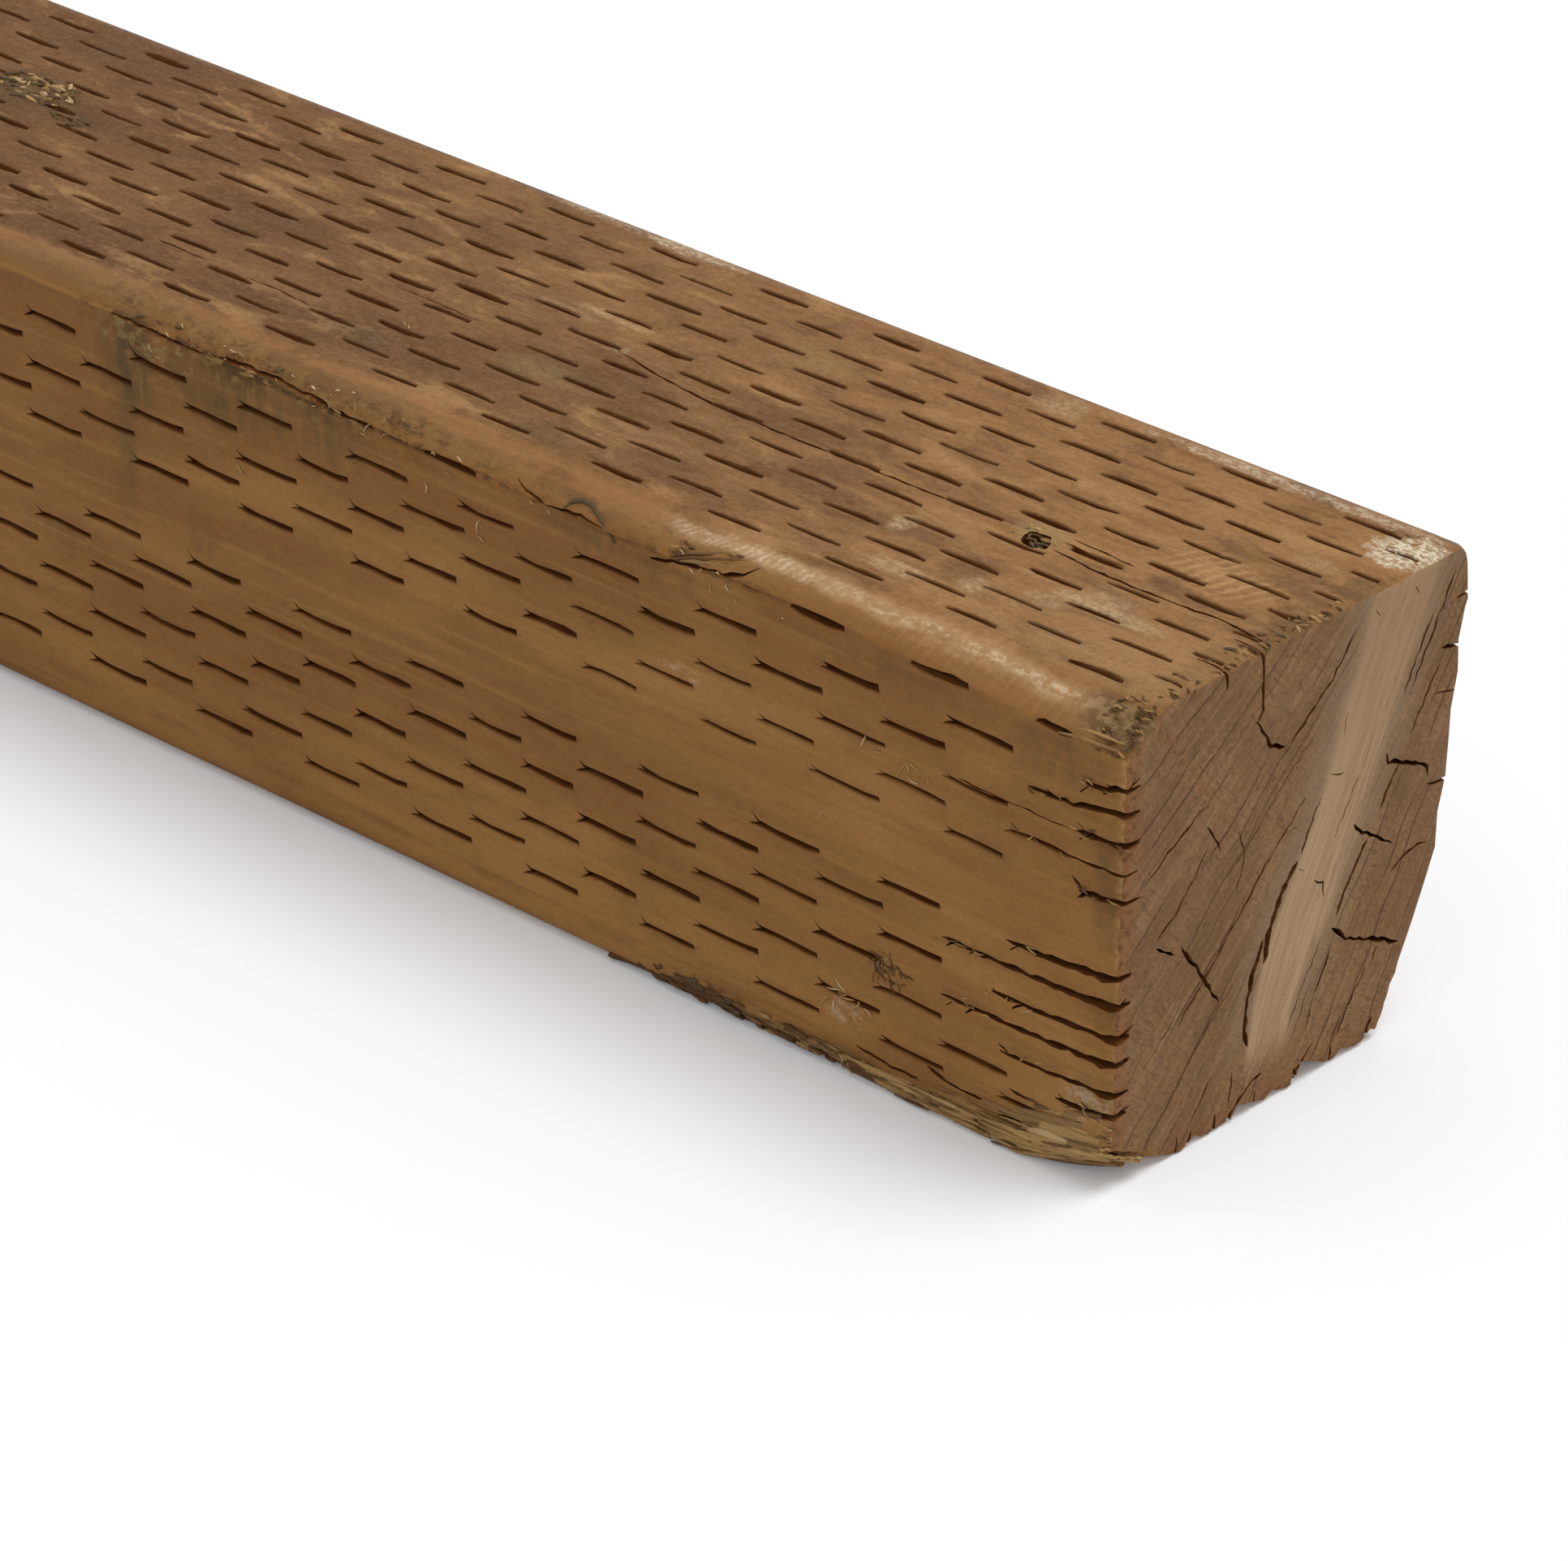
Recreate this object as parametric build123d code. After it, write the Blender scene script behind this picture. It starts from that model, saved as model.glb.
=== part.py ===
from build123d import *
import os

# Sawn post of nominal 4 x 4, lying on its side: X runs along it, the underside is at Z = 0.
face_width = 89.0
face_height = 89.0
post_length = 1829.0
eased_radius = 4.0

# The cut at the +X end is a little out of square, its foot set back.
end_lean = 1.2

# Log surface left along the far lower edge: the tree's own round, growing along the post until
# the square section lies whole inside the log.
log_radius = 180.0
log_height = 80.0
log_stand_off = 0.3
log_taper = 0.02

# Wane along the near upper edge, deepest at the +X end: a shallow round that keeps its width for
# a while and then dies into the eased edge.
wane_width = 12.0
wane_depth = 4.4
wane_end_depth = 7.0
wane_bulge = 1.0
wane_flare = 50.0
wane_hold = 320.0
wane_run = 640.0

# Lower near corner knocked off the +X end.
break_rise = 8.0
break_width = 17.0
break_run = 30.0

# How far the cutting shapes stand past the wood.
overrun = 10.0

end_x = post_length / 2
near_y = -face_width / 2
far_y = face_width / 2


def cross_plane(x):
    return Plane(origin=(x, 0, 0), x_dir=(0, 1, 0), z_dir=(1, 0, 0))


def sawn_bar():
    # Square section with its four long edges eased by the planer.
    section = cross_plane(-end_x) * Rectangle(face_width, face_height)
    bar = extrude(section, post_length)
    bar = Pos(0, 0, face_height / 2) * bar
    return fillet(bar.edges().filter_by(Axis.X), eased_radius)


def log_surface():
    # Everything of the far lower corner that lies outside the tapering log.
    log_y = far_y + log_stand_off - log_radius
    corner_reach = ((far_y - log_y) ** 2 + log_height**2) ** 0.5
    run = (corner_reach - log_radius) / log_taper
    block_length = run + overrun
    small_radius = log_radius - log_taper * overrun
    large_radius = log_radius + log_taper * run
    log = Cone(small_radius, large_radius, block_length, align=(Align.CENTER, Align.CENTER, Align.MIN))
    log = Pos(end_x + overrun, log_y, log_height) * Rot(0, -90, 0) * log
    block = Box(
        block_length,
        far_y - log_y,
        log_height + overrun,
        align=(Align.MAX, Align.MIN, Align.MAX),
    )
    return Pos(end_x + overrun, log_y + overrun, log_height) * block - log


def wane_section(distance, width, depth, bulge):
    # Corner piece outside the wane at one distance from the end.
    top_point = Vector(near_y + width, face_height)
    face_point = Vector(near_y, face_height - depth)
    outward = Vector(-depth, width).normalized()
    crest = (top_point + face_point) / 2 + outward * bulge
    outside = Polyline(
        top_point,
        top_point + Vector(0, overrun),
        Vector(near_y - overrun, face_height + overrun),
        face_point - Vector(overrun, 0),
        face_point,
    )
    round_edge = ThreePointArc(face_point, crest, top_point)
    return cross_plane(end_x - distance) * make_face(outside + round_edge)


def edge_wane():
    # The wane is lofted from the end to where it is lost in the eased edge.
    lost = eased_radius / 2
    sections = [
        wane_section(wane_run, lost, lost, wane_bulge * lost / wane_width),
        wane_section(wane_hold, wane_width, wane_depth, wane_bulge),
        wane_section(wane_flare, wane_width, wane_depth, wane_bulge),
        wane_section(0, wane_width, wane_end_depth, wane_bulge),
        wane_section(-overrun, wane_width, wane_end_depth, wane_bulge),
    ]
    return loft(sections, ruled=True)


def end_cut(bar):
    # One saw cut through the top edge of the end, leaning back towards the underside.
    lean = Plane(origin=(end_x, 0, face_height), z_dir=(1, 0, 0)).rotated((0, end_lean, 0))
    return split(bar, bisect_by=lean, keep=Keep.BOTTOM)


def broken_corner(bar):
    # One split takes off the lower near corner of the end.
    rise_point = Vector(end_x, near_y, break_rise)
    width_point = Vector(end_x, near_y + break_width, 0)
    run_point = Vector(end_x - break_run, near_y, 0)
    outward = (width_point - rise_point).cross(run_point - rise_point)
    if outward.X < 0:
        outward = -outward
    return split(bar, bisect_by=Plane(origin=rise_point, z_dir=outward), keep=Keep.BOTTOM)


post = sawn_bar() - log_surface() - edge_wane()
post = broken_corner(end_cut(post))

os.makedirs("parts", exist_ok=True)
export_step(post, "parts/post.step")
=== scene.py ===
import math
import random

import bmesh
import bpy
import numpy as np
from mathutils import Matrix, Vector, noise


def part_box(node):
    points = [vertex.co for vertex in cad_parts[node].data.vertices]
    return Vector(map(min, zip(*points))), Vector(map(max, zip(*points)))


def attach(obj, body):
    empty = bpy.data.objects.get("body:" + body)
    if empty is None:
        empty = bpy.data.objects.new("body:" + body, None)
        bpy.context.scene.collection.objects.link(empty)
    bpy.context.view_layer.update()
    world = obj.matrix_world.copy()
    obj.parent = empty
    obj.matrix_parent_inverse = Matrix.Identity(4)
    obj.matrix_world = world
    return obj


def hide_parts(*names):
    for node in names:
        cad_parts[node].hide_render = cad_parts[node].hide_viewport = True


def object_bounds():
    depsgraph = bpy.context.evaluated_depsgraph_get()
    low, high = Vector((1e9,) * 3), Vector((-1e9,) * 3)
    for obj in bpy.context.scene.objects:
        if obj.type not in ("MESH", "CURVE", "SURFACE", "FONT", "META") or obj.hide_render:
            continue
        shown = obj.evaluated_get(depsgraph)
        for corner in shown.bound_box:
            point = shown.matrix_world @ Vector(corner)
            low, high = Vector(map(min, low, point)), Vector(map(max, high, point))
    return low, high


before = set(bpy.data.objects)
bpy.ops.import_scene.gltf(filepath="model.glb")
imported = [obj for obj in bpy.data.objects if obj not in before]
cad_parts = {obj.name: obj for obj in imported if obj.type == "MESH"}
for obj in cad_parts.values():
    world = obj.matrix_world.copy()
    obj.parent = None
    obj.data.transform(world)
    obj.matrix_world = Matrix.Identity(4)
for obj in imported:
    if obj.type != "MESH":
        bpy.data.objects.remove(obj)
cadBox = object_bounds()
boxLow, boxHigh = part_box("post")
mm = 0.001
endX = boxHigh.x / mm  # shapes are in mm: s back from the weathered end, y from the near face, z up
nearY = boxLow.y / mm
side = (boxHigh.z - boxLow.z) / mm
postLength = (boxHigh.x - boxLow.x) / mm
print("frame loaded, post", round(postLength), "x", round(side), "mm")


def wood(s, y, z):  # a place on the post, in mm
    return Vector((endX - s, nearY + y, z))


def place(s, y, z):  # the same place in metres
    return wood(s, y, z) * mm


def smooth(value, low, high):
    t = min(max((value - low) / (high - low), 0.0), 1.0)
    return t * t * (3 - 2 * t)


def between(value, points):  # straight lines through a few given points
    return float(np.interp(value, [p[0] for p in points], [p[1] for p in points]))


def rough(a, b, c=0.0):
    return noise.noise(Vector((a, b, c)))


def softRamp(value, blend):  # 0 for negative values, the value itself above blend
    if value <= -blend:
        return 0.0
    if value >= blend:
        return value
    return (value + blend) ** 2 / (4 * blend)


def newObject(name, mesh, materials):
    piece = bpy.data.objects.new(name, mesh)
    bpy.context.scene.collection.objects.link(piece)
    for material in materials:
        mesh.materials.append(material)
    return piece


# camera at the photo's view, fitted to the post's edges and to the spacing of its slits
viewPoint = {
    "azimuth": 42.88,
    "elevation": 28.5,
    "lens": 160.4,
    "aimHeight": 45.5,
    "aimRight": 54.2,
    "aimUp": -29.15,
    "distance": 1119.8,
}


def addCamera(v):
    turn, lift = math.radians(v["azimuth"]), math.radians(v["elevation"])
    right = Vector((math.cos(turn), math.sin(turn), 0))
    back = Vector((math.sin(turn) * math.cos(lift), -math.cos(turn) * math.cos(lift), math.sin(lift)))
    up = back.cross(right)
    spot = place(0, 0, v["aimHeight"]) + (back * v["distance"] - right * v["aimRight"] - up * v["aimUp"]) * mm
    data = bpy.data.cameras.new("photoCamera")
    data.lens = v["lens"]
    data.sensor_width = 36
    data.clip_start = 0.05
    data.clip_end = 50
    camera = bpy.data.objects.new("photoCamera", data)
    bpy.context.scene.collection.objects.link(camera)
    camera.matrix_world = Matrix.Translation(spot) @ Matrix((right, up, back)).transposed().to_4x4()
    bpy.context.scene.camera = camera
    print("camera set")


addCamera(viewPoint)


# shader helpers: a wire is a socket that takes plain arithmetic
class Wire:
    def __init__(self, graph, socket):
        self.graph = graph
        self.socket = socket

    def calc(self, operation, *others):
        return self.graph.math(operation, self, *others)

    def __add__(self, other):
        return self.calc("ADD", other)

    __radd__ = __add__

    def __mul__(self, other):
        return self.calc("MULTIPLY", other)

    __rmul__ = __mul__

    def __sub__(self, other):
        return self.calc("SUBTRACT", other)

    def __rsub__(self, other):
        return self.graph.math("SUBTRACT", other, self)

    def __truediv__(self, other):
        return self.calc("DIVIDE", other)

    def __abs__(self):
        return self.calc("ABSOLUTE")

    def least(self, other):
        return self.calc("MINIMUM", other)

    def most(self, other):
        return self.calc("MAXIMUM", other)

    def clamp(self):
        return self.most(0.0).least(1.0)


class Graph:
    def __init__(self, owner):  # a material, or the world
        owner.use_nodes = True
        self.owner = owner
        self.tree = owner.node_tree
        self.tree.nodes.clear()

    def add(self, kind, settings=None, inputs=None, out=0):
        node = self.tree.nodes.new(kind)
        for key, value in (settings or {}).items():
            if key == "points":
                line = node.mapping.curves[0].points
                while len(line) < len(value):
                    line.new(0.5, 0.5)
                for point, at in zip(line, value):
                    point.location = at
                    point.handle_type = "VECTOR"
                node.mapping.update()
            else:
                setattr(node, key, value)
        for key, value in (inputs or {}).items():
            if isinstance(value, Wire):
                self.tree.links.new(value.socket, node.inputs[key])
            else:
                node.inputs[key].default_value = value
        return Wire(self, node.outputs[out]) if len(node.outputs) else None

    def math(self, operation, *values):
        return self.add("ShaderNodeMath", {"operation": operation}, dict(enumerate(values)))

    def coords(self):  # object coordinates in mm, as s, y, z
        point = self.add("ShaderNodeTexCoord", out="Object")
        split = self.add("ShaderNodeSeparateXYZ", None, {0: point})
        names = split.socket.node.outputs
        x, y, z = (Wire(self, names[n]) * 1000.0 for n in range(3))
        return endX - x, y - nearY, z

    def vector(self, a, b, c):
        return self.add("ShaderNodeCombineXYZ", None, {0: a, 1: b, 2: c})

    def noise(self, point, detail, roughness, distortion=0.0):
        values = {"Vector": self.vector(*point), "Scale": 1.0, "Detail": detail}
        values["Roughness"] = roughness
        values["Distortion"] = distortion
        return self.add("ShaderNodeTexNoise", {"noise_dimensions": "3D"}, values)

    def step(self, value, low, high):  # smooth 0..1 from low to high, either way round
        ends = {"Value": value, "From Min": min(low, high), "From Max": max(low, high)}
        ends["To Min"] = float(low > high)
        ends["To Max"] = float(high > low)
        return self.add("ShaderNodeMapRange", {"interpolation_type": "SMOOTHSTEP"}, ends)

    def curve(self, value, points):  # value through given points
        low, high = points[0][0], points[-1][0]
        least, most = min(p[1] for p in points), max(p[1] for p in points)
        line = [((a - low) / (high - low), (b - least) / (most - least)) for a, b in points]
        inside = (value - low) / (high - low)
        return self.add("ShaderNodeFloatCurve", {"points": line}, {"Value": inside}) * (most - least) + least

    def mix(self, factor, a, b, blend="MIX"):
        settings = {"data_type": "RGBA", "blend_type": blend, "clamp_factor": True}
        return self.add("ShaderNodeMix", settings, {0: factor, 6: a, 7: b}, out=2)

    def coats(self, color, look, *layers):  # lays one finish after another over a colour, each by its amount
        for name, amount in layers:
            color = self.mix(amount, color, look[name])
        return color

    def bump(self, height, strength, distance):
        values = {"Strength": strength, "Distance": distance * mm, "Height": height}
        return self.add("ShaderNodeBump", None, values)

    def surface(self, look, color, roughness, relief):
        values = {"Base Color": color, "Roughness": roughness, "Normal": relief}
        values["Specular IOR Level"] = look["specular"]
        shader = self.add("ShaderNodeBsdfPrincipled", None, values)
        self.add("ShaderNodeOutputMaterial", None, {"Surface": shader})
        return self.owner


def tint(*screen):  # screen colour 0..255 to the linear colour that the shader takes
    return (*(((c / 255 + 0.055) / 1.055) ** 2.4 for c in screen), 1.0)


faceSlot, endSlot, wallSlot = 0, 1, 2  # places of the post's materials

# the post's body: a section ring drawn out station by station from the weathered end
postForm = {
    "eased": 4.0,
    "skin": 0.5,  # the photographed faces stand in by this, so that loose fibres stay inside the post's size
    "skinRun": (470.0, 390.0),
    "livelyRun": (640.0, 400.0),  # the uneven surface starts at the first and is whole from the second on
    "waneWidths": ((0, 12), (320, 12), (640, 2)),
    "waneDepths": (
        (0, 7), (20, 6.2), (39, 5.2), (58, 4.4), (78, 4), (100, 4.6), (117, 5), (136, 4.4), (195, 4.2),
        (224, 3.4), (250, 3.2), (300, 3.8), (372, 3.8), (640, 2),
    ),
    "waneRound": 1.35,
    "ledge": (
        (0, 0), (12, 0.1), (70, 0.2), (82, 1), (102, 1), (108, 0.3), (112, 1), (126, 1), (134, 0.3),
        (150, 0.6), (165, 1), (225, 1), (245, 0.2), (330, 0.3), (420, 0),
    ),
    "farLean": 0.09,
    "farLeanFrom": 80.0,
    "logSlope": 0.38,
    "logFrom": 28.0,
    "logRun": 835.0,
    "breakRise": 8.0,
    "breakWidth": 17.0,
    "breakRun": 22.0,
    "tornRun": 112.0,
    "tornFade": 45.0,
    "tornRise": ((0, 13), (22, 12), (48, 7), (112, 6)),
    "tornSlope": 0.8,
    "tornEdge": 6.0,
    "pillowRun": 15.0,
    "pillowReach": 3.0,
    "footRows": 14.0,  # rows of points are closer below this height on the near face
    "farRows": 12.0,  # and below this on the far face
    "endLean": math.tan(math.radians(1.2)),
    "leanRun": 40.0,
    "edgeWear": 0.8,
    "edgeWearRun": 3.0,
    "raggedDepth": 1.5,  # broken rim of the end along the far face
    "raggedRun": 6.0,
    "raggedFrom": 0.7,
    "notchRun": 12.0,
    "notchHeight": 4.0,
    "footNotches": (  # chips out of the lower rim: from, to, height at the first
        (21, 25, 1.8), (32, 39, 3.4), (42.5, 45, 1.6), (49, 58, 4.2), (61.5, 64, 1.4), (68, 74, 2.6),
    ),
    "stations": (  # from, to, step along the post
        (0, 12, 0.8), (12, 40, 1.4), (40, 112, 2.0), (112, 250, 4.6), (250, 372, 9), (372, 432, 15),
        (432, postLength, 60),
    ),
    "capScales": (0.994, 0.98, 0.955, 0.92, 0.87, 0.8, 0.71, 0.6, 0.47, 0.32, 0.16),
}

# splits that open through the edge between the near face and the weathered end: height at the edge,
# height at the inner end, run, width
endSplits = (
    (75.8, 74.7, 9, 1.5), (71.2, 69.8, 21, 1.2), (65.5, 65.4, 11, 1.4), (60.3, 60.3, 22, 0.6),
    (55.1, 54.8, 10, 1.3), (40.7, 39.8, 25, 1.6), (35.5, 34.9, 39, 1.2), (29.4, 29.0, 28, 1.4),
    (24.5, 24.0, 39, 1.2), (18.8, 18.4, 26, 1.0), (14.7, 14.2, 14, 1.3),
)
openSplit = 0.6  # splits wider than this stand open


def farFace(s, z, f):  # y of the far face, with the log's round low down and the eased corner
    fade = max(0.0, 1 - s / f["logRun"])
    drop = f["farLean"] * softRamp(f["farLeanFrom"] - z, 6) + f["logSlope"] * softRamp(f["logFrom"] - z, 8)
    eased = side
    if z < f["eased"]:
        eased = side - f["eased"] + math.sqrt(f["eased"] ** 2 - (f["eased"] - max(z, 0.0)) ** 2)
    return min(side - fade * drop, eased)


def footSize(s, f):  # rise and width of the lower near corner
    gone = max(0.0, 1 - s / f["breakRun"])
    rise = f["eased"] + (f["breakRise"] - f["eased"]) * gone
    width = f["eased"] + (f["breakWidth"] - f["eased"]) * gone
    return rise, width, gone


def tornBite(s, y, z, f):  # how deep the torn fibres are at the foot
    rise = between(s, f["tornRise"])
    reach = smooth(s, f["tornRun"], f["tornRun"] - f["tornFade"])
    reach *= smooth(max(z, y * f["tornSlope"]), rise, rise - f["tornEdge"])
    if reach == 0:
        return 0.0
    ridge = rough(s / 19, y * 0.75, z * 0.75) + 0.5 * rough(s / 7, y * 1.6, z * 1.6 + 40)
    return reach * max(0.0, 0.55 + 0.9 * ridge)


def pillow(s, z, f):  # the wood between two end splits is rounded towards each of them
    dip = 0.0
    for height, inner, run, wide in endSplits:
        if s < f["pillowRun"] and abs(z - height) < f["pillowReach"]:
            fade = 1 - s / f["pillowRun"]
            dip = max(dip, wide * 0.6 * fade * math.exp(-(((z - height) / 1.1) ** 2)))
    return dip


def waneCurve(t, width, depth, crown, f):  # from the lip on the near face, t = 0, to the top
    span = math.hypot(width, depth)
    pull = 2 * f["waneRound"] * min(1.0, depth / 4)
    bendY, bendZ = width / 2 - pull * depth / span, crown - depth / 2 + pull * width / span
    y = 2 * t * (1 - t) * bendY + t * t * width
    z = (1 - t) ** 2 * (crown - depth) + 2 * t * (1 - t) * bendZ + t * t * crown
    return y, z


def skinDepth(s):
    return postForm["skin"] * smooth(s, *postForm["skinRun"])


def topHeight(s):
    return side - skinDepth(s)


def waneHeight(s, y):  # height of the wane or the top above one place
    width, depth = between(s, postForm["waneWidths"]), between(s, postForm["waneDepths"])
    points = [waneCurve(t, width, depth, topHeight(s), postForm) for t in np.linspace(0, 1, 9)]
    return between(y - postForm["skin"], points)


def sectionRing(s, f):
    inset = skinDepth(s)
    crown = side - inset
    width, depth = between(s, f["waneWidths"]), between(s, f["waneDepths"])
    lively = smooth(s, *f["livelyRun"])
    depth += (0.7 * rough(s / 13, 1.5) + 0.5 * rough(s / 4.5, 7.5)) * lively
    width += 1.4 * rough(s / 26, 4.5) * lively
    rise, footWidth, gone = footSize(s, f)
    lip = crown - depth
    ledge = between(s, f["ledge"]) * max(0.0, 0.55 + 0.8 * rough(s / 11, 3.3))
    ring = []
    for z in np.linspace(rise, f["footRows"], 11)[:-1]:  # near face, upwards
        ring.append((inset + tornBite(s, 0, z, f) + pillow(s, z, f), z))
    for z in np.linspace(f["footRows"], lip - 2.4, 40):
        ring.append((inset * (1 + 0.24 * rough(s / 60, z / 9, 6)) + pillow(s, z, f), z))
    ring.append((inset + 0.2 * ledge, lip - 1.2))
    ring.append((inset + 0.9 * ledge, lip - 0.3))
    for t in np.linspace(0, 1, 17)[:-1]:  # wane
        swell = 0.7 * rough(s / 17, t * 2.5, 2) + 0.4 * rough(s / 5, t * 6, 5)
        swell *= math.sin(math.pi * t) * lively
        y, z = waneCurve(t, width, depth, crown, f)
        ring.append((inset + max(y + 0.35 * swell, 0.0), min(z - 0.9 * abs(swell), crown)))
    for y in np.linspace(width, side - f["eased"], 21)[:-1]:  # top
        ring.append((y, crown - 0.1 * max(0.0, rough(s / 50, y / 8, 9)) * lively))
    for a in np.linspace(0, math.pi / 2, 5)[:-1]:  # far upper edge
        ring.append((side - f["eased"] * (1 - math.sin(a)), crown - f["eased"] * (1 - math.cos(a))))
    lowFar = [f["farRows"] * (1 - t) ** 1.5 for t in np.linspace(0, 1, 10)[:-1]]
    for z in list(np.linspace(crown - f["eased"], f["farRows"], 12))[:-1] + lowFar:  # far face, downwards
        ring.append((farFace(s, z, f), z))
    for y in np.linspace(farFace(s, 0, f), footWidth, 30)[:-1]:  # underside
        ring.append((y, 0.0))
    for t in np.linspace(0, 1, 17)[:-1]:  # foot, round where whole and straight where broken
        a = t * math.pi / 2
        y = footWidth * ((1 - math.sin(a)) * (1 - gone) + (1 - t) * gone)
        z = rise * ((1 - math.cos(a)) * (1 - gone) + t * gone)
        bite = tornBite(s, y, z, f)
        ring.append((y + bite * 0.7 + inset * t, z + bite * 0.7))
    return ring


def endSetBack(y, z, f):  # the saw cut's lean and its chipped rim
    rim = min(y, z, side - z, farFace(0, z, f) - y)
    chips = max(0.0, rough(y / 3.1, z / 3.1, 8)) * 1.5 + 0.2
    waves = 0.3 * (1 + rough(y / 9, z / 9, 4))
    fuzz = 0.14 * rough(y / 1.3, z / 1.3, 2)
    return f["endLean"] * (side - z) + chips * smooth(rim, 2.4, 0.0) + waves + fuzz + 0.2


def settle(s, y, z, f):
    back = endSetBack(y, z, f) * max(0.0, 1 - s / f["leanRun"])
    if z < f["notchHeight"] and s < f["notchRun"]:
        for start, stop, high in f["footNotches"]:
            if start < y < stop:
                z += high * (stop - y) / (stop - start) * (1 - s / f["notchRun"])
    if s < f["edgeWearRun"]:
        worn = f["edgeWear"] * (1 - s / f["edgeWearRun"]) ** 2 * max(0.0, 0.7 + 0.9 * rough(y / 4, z / 4, 11))
        middle = side / 2
        far = max(abs(y - middle), abs(z - middle), 1.0)
        y -= worn * (y - middle) / far
        z -= worn * (z - middle) / far
    if s < f["raggedRun"] and y > side * f["raggedFrom"]:
        broken = max(0.0, rough(z / 1.9, 3.1) + 0.4 * rough(z / 0.8, 5.2))
        y -= f["raggedDepth"] * broken * (1 - s / f["raggedRun"])
    return place(s + back, y, z)


def stationList(f):
    marks = []
    for start, stop, gap in f["stations"]:
        count = max(1, round((stop - start) / gap))
        marks += [start + (stop - start) * n / count for n in range(count)]
    return marks + [postLength]


def drawOn(bm, edges):  # extrudes a ring of edges and gives the new edges and points
    out = bmesh.ops.extrude_edge_only(bm, edges=edges)["geom"]
    newEdges = [e for e in out if isinstance(e, bmesh.types.BMEdge)]
    return newEdges, [v for v in out if isinstance(v, bmesh.types.BMVert)]


def capEnd(bm, edges, ring, f, weathered):  # closes an end with rings that shrink towards its middle
    flat = [(v.co.y / mm - nearY, v.co.z / mm) for v in ring]
    middle = side / 2
    for scale in f["capScales"]:
        edges, ring = drawOn(bm, edges)
        for vert, (y, z) in zip(ring, flat):
            y, z = middle + (y - middle) * scale, middle + (z - middle) * scale
            vert.co = place(endSetBack(y, z, f), y, z) if weathered else place(postLength, y, z)
    bmesh.ops.contextual_create(bm, geom=edges)


def drawPost(f):
    bm = bmesh.new()
    marks = stationList(f)
    first = sectionRing(0, f)
    ring = list(bmesh.ops.create_circle(bm, segments=len(first), radius=side * mm)["verts"])
    startRing = ring
    for vert, (y, z) in zip(ring, first):
        vert.co = settle(0, y, z, f)
    edges = list(bm.edges)
    startEdges = edges
    for s in marks[1:]:
        edges, ring = drawOn(bm, edges)
        for vert, (y, z) in zip(ring, sectionRing(s, f)):
            vert.co = settle(s, y, z, f)
    sideFaces = set(bm.faces)
    capEnd(bm, startEdges, startRing, f, True)
    capEnd(bm, edges, ring, f, False)
    for face in bm.faces:
        face.material_index = faceSlot if face in sideFaces else endSlot
    bmesh.ops.recalc_face_normals(bm, faces=bm.faces)
    mesh = bpy.data.meshes.new("post_wood")
    bm.to_mesh(mesh)
    bm.free()
    return mesh


postMesh = drawPost(postForm)
print("post drawn,", len(postMesh.polygons), "faces")


# cutting shapes: tubes of a few levels, addressed by place round the ring and by level
def tubeAddress(segments, levels):
    bm = bmesh.new()
    ring = bmesh.ops.create_circle(bm, cap_ends=True, segments=segments, radius=1)["verts"]
    for n, vert in enumerate(ring):
        vert.co = (n, 0, 0)
    edges = list(bm.edges)
    for level in range(1, levels):
        edges, ring = drawOn(bm, edges)
        for vert in ring:
            vert.co.y = level
    bmesh.ops.contextual_create(bm, geom=edges)
    bm.verts.index_update()
    address = [(round(v.co.x), round(v.co.y)) for v in bm.verts]
    polys = [tuple(v.index for v in f.verts) for f in bm.faces]
    bm.free()
    return address, polys


def meshFrom(name, points, faces, slots=()):
    mesh = bpy.data.meshes.new(name)
    mesh.from_pydata(points, [], faces)
    bm = bmesh.new()
    bm.from_mesh(mesh)
    bmesh.ops.recalc_face_normals(bm, faces=bm.faces)
    for face, slot in zip(bm.faces, slots):
        face.material_index = slot
    bm.to_mesh(mesh)
    bm.free()
    return mesh


def joinParts(name, parts):  # each part is its points, its faces and the material of each face
    points, faces, slots = [], [], []
    for verts, polys, indices in parts:
        base = len(points)
        points += verts
        faces += [tuple(base + i for i in poly) for poly in polys]
        slots += indices
    return meshFrom(name, points, faces, slots)


def facePlace(face, s, across, height):  # a point over one of the long faces, or over the weathered end
    if face == "top":
        return place(s, across, topHeight(s) + height)
    if face == "near":
        return place(s, side - topHeight(s) - height, across)
    if face == "far":
        return place(s, farFace(s, across, postForm) + height, across)
    if face == "under":
        return place(s, across, -height)
    return place(endSetBack(s, across, postForm) - height, s, across)  # end: here s is y, across is z


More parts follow.
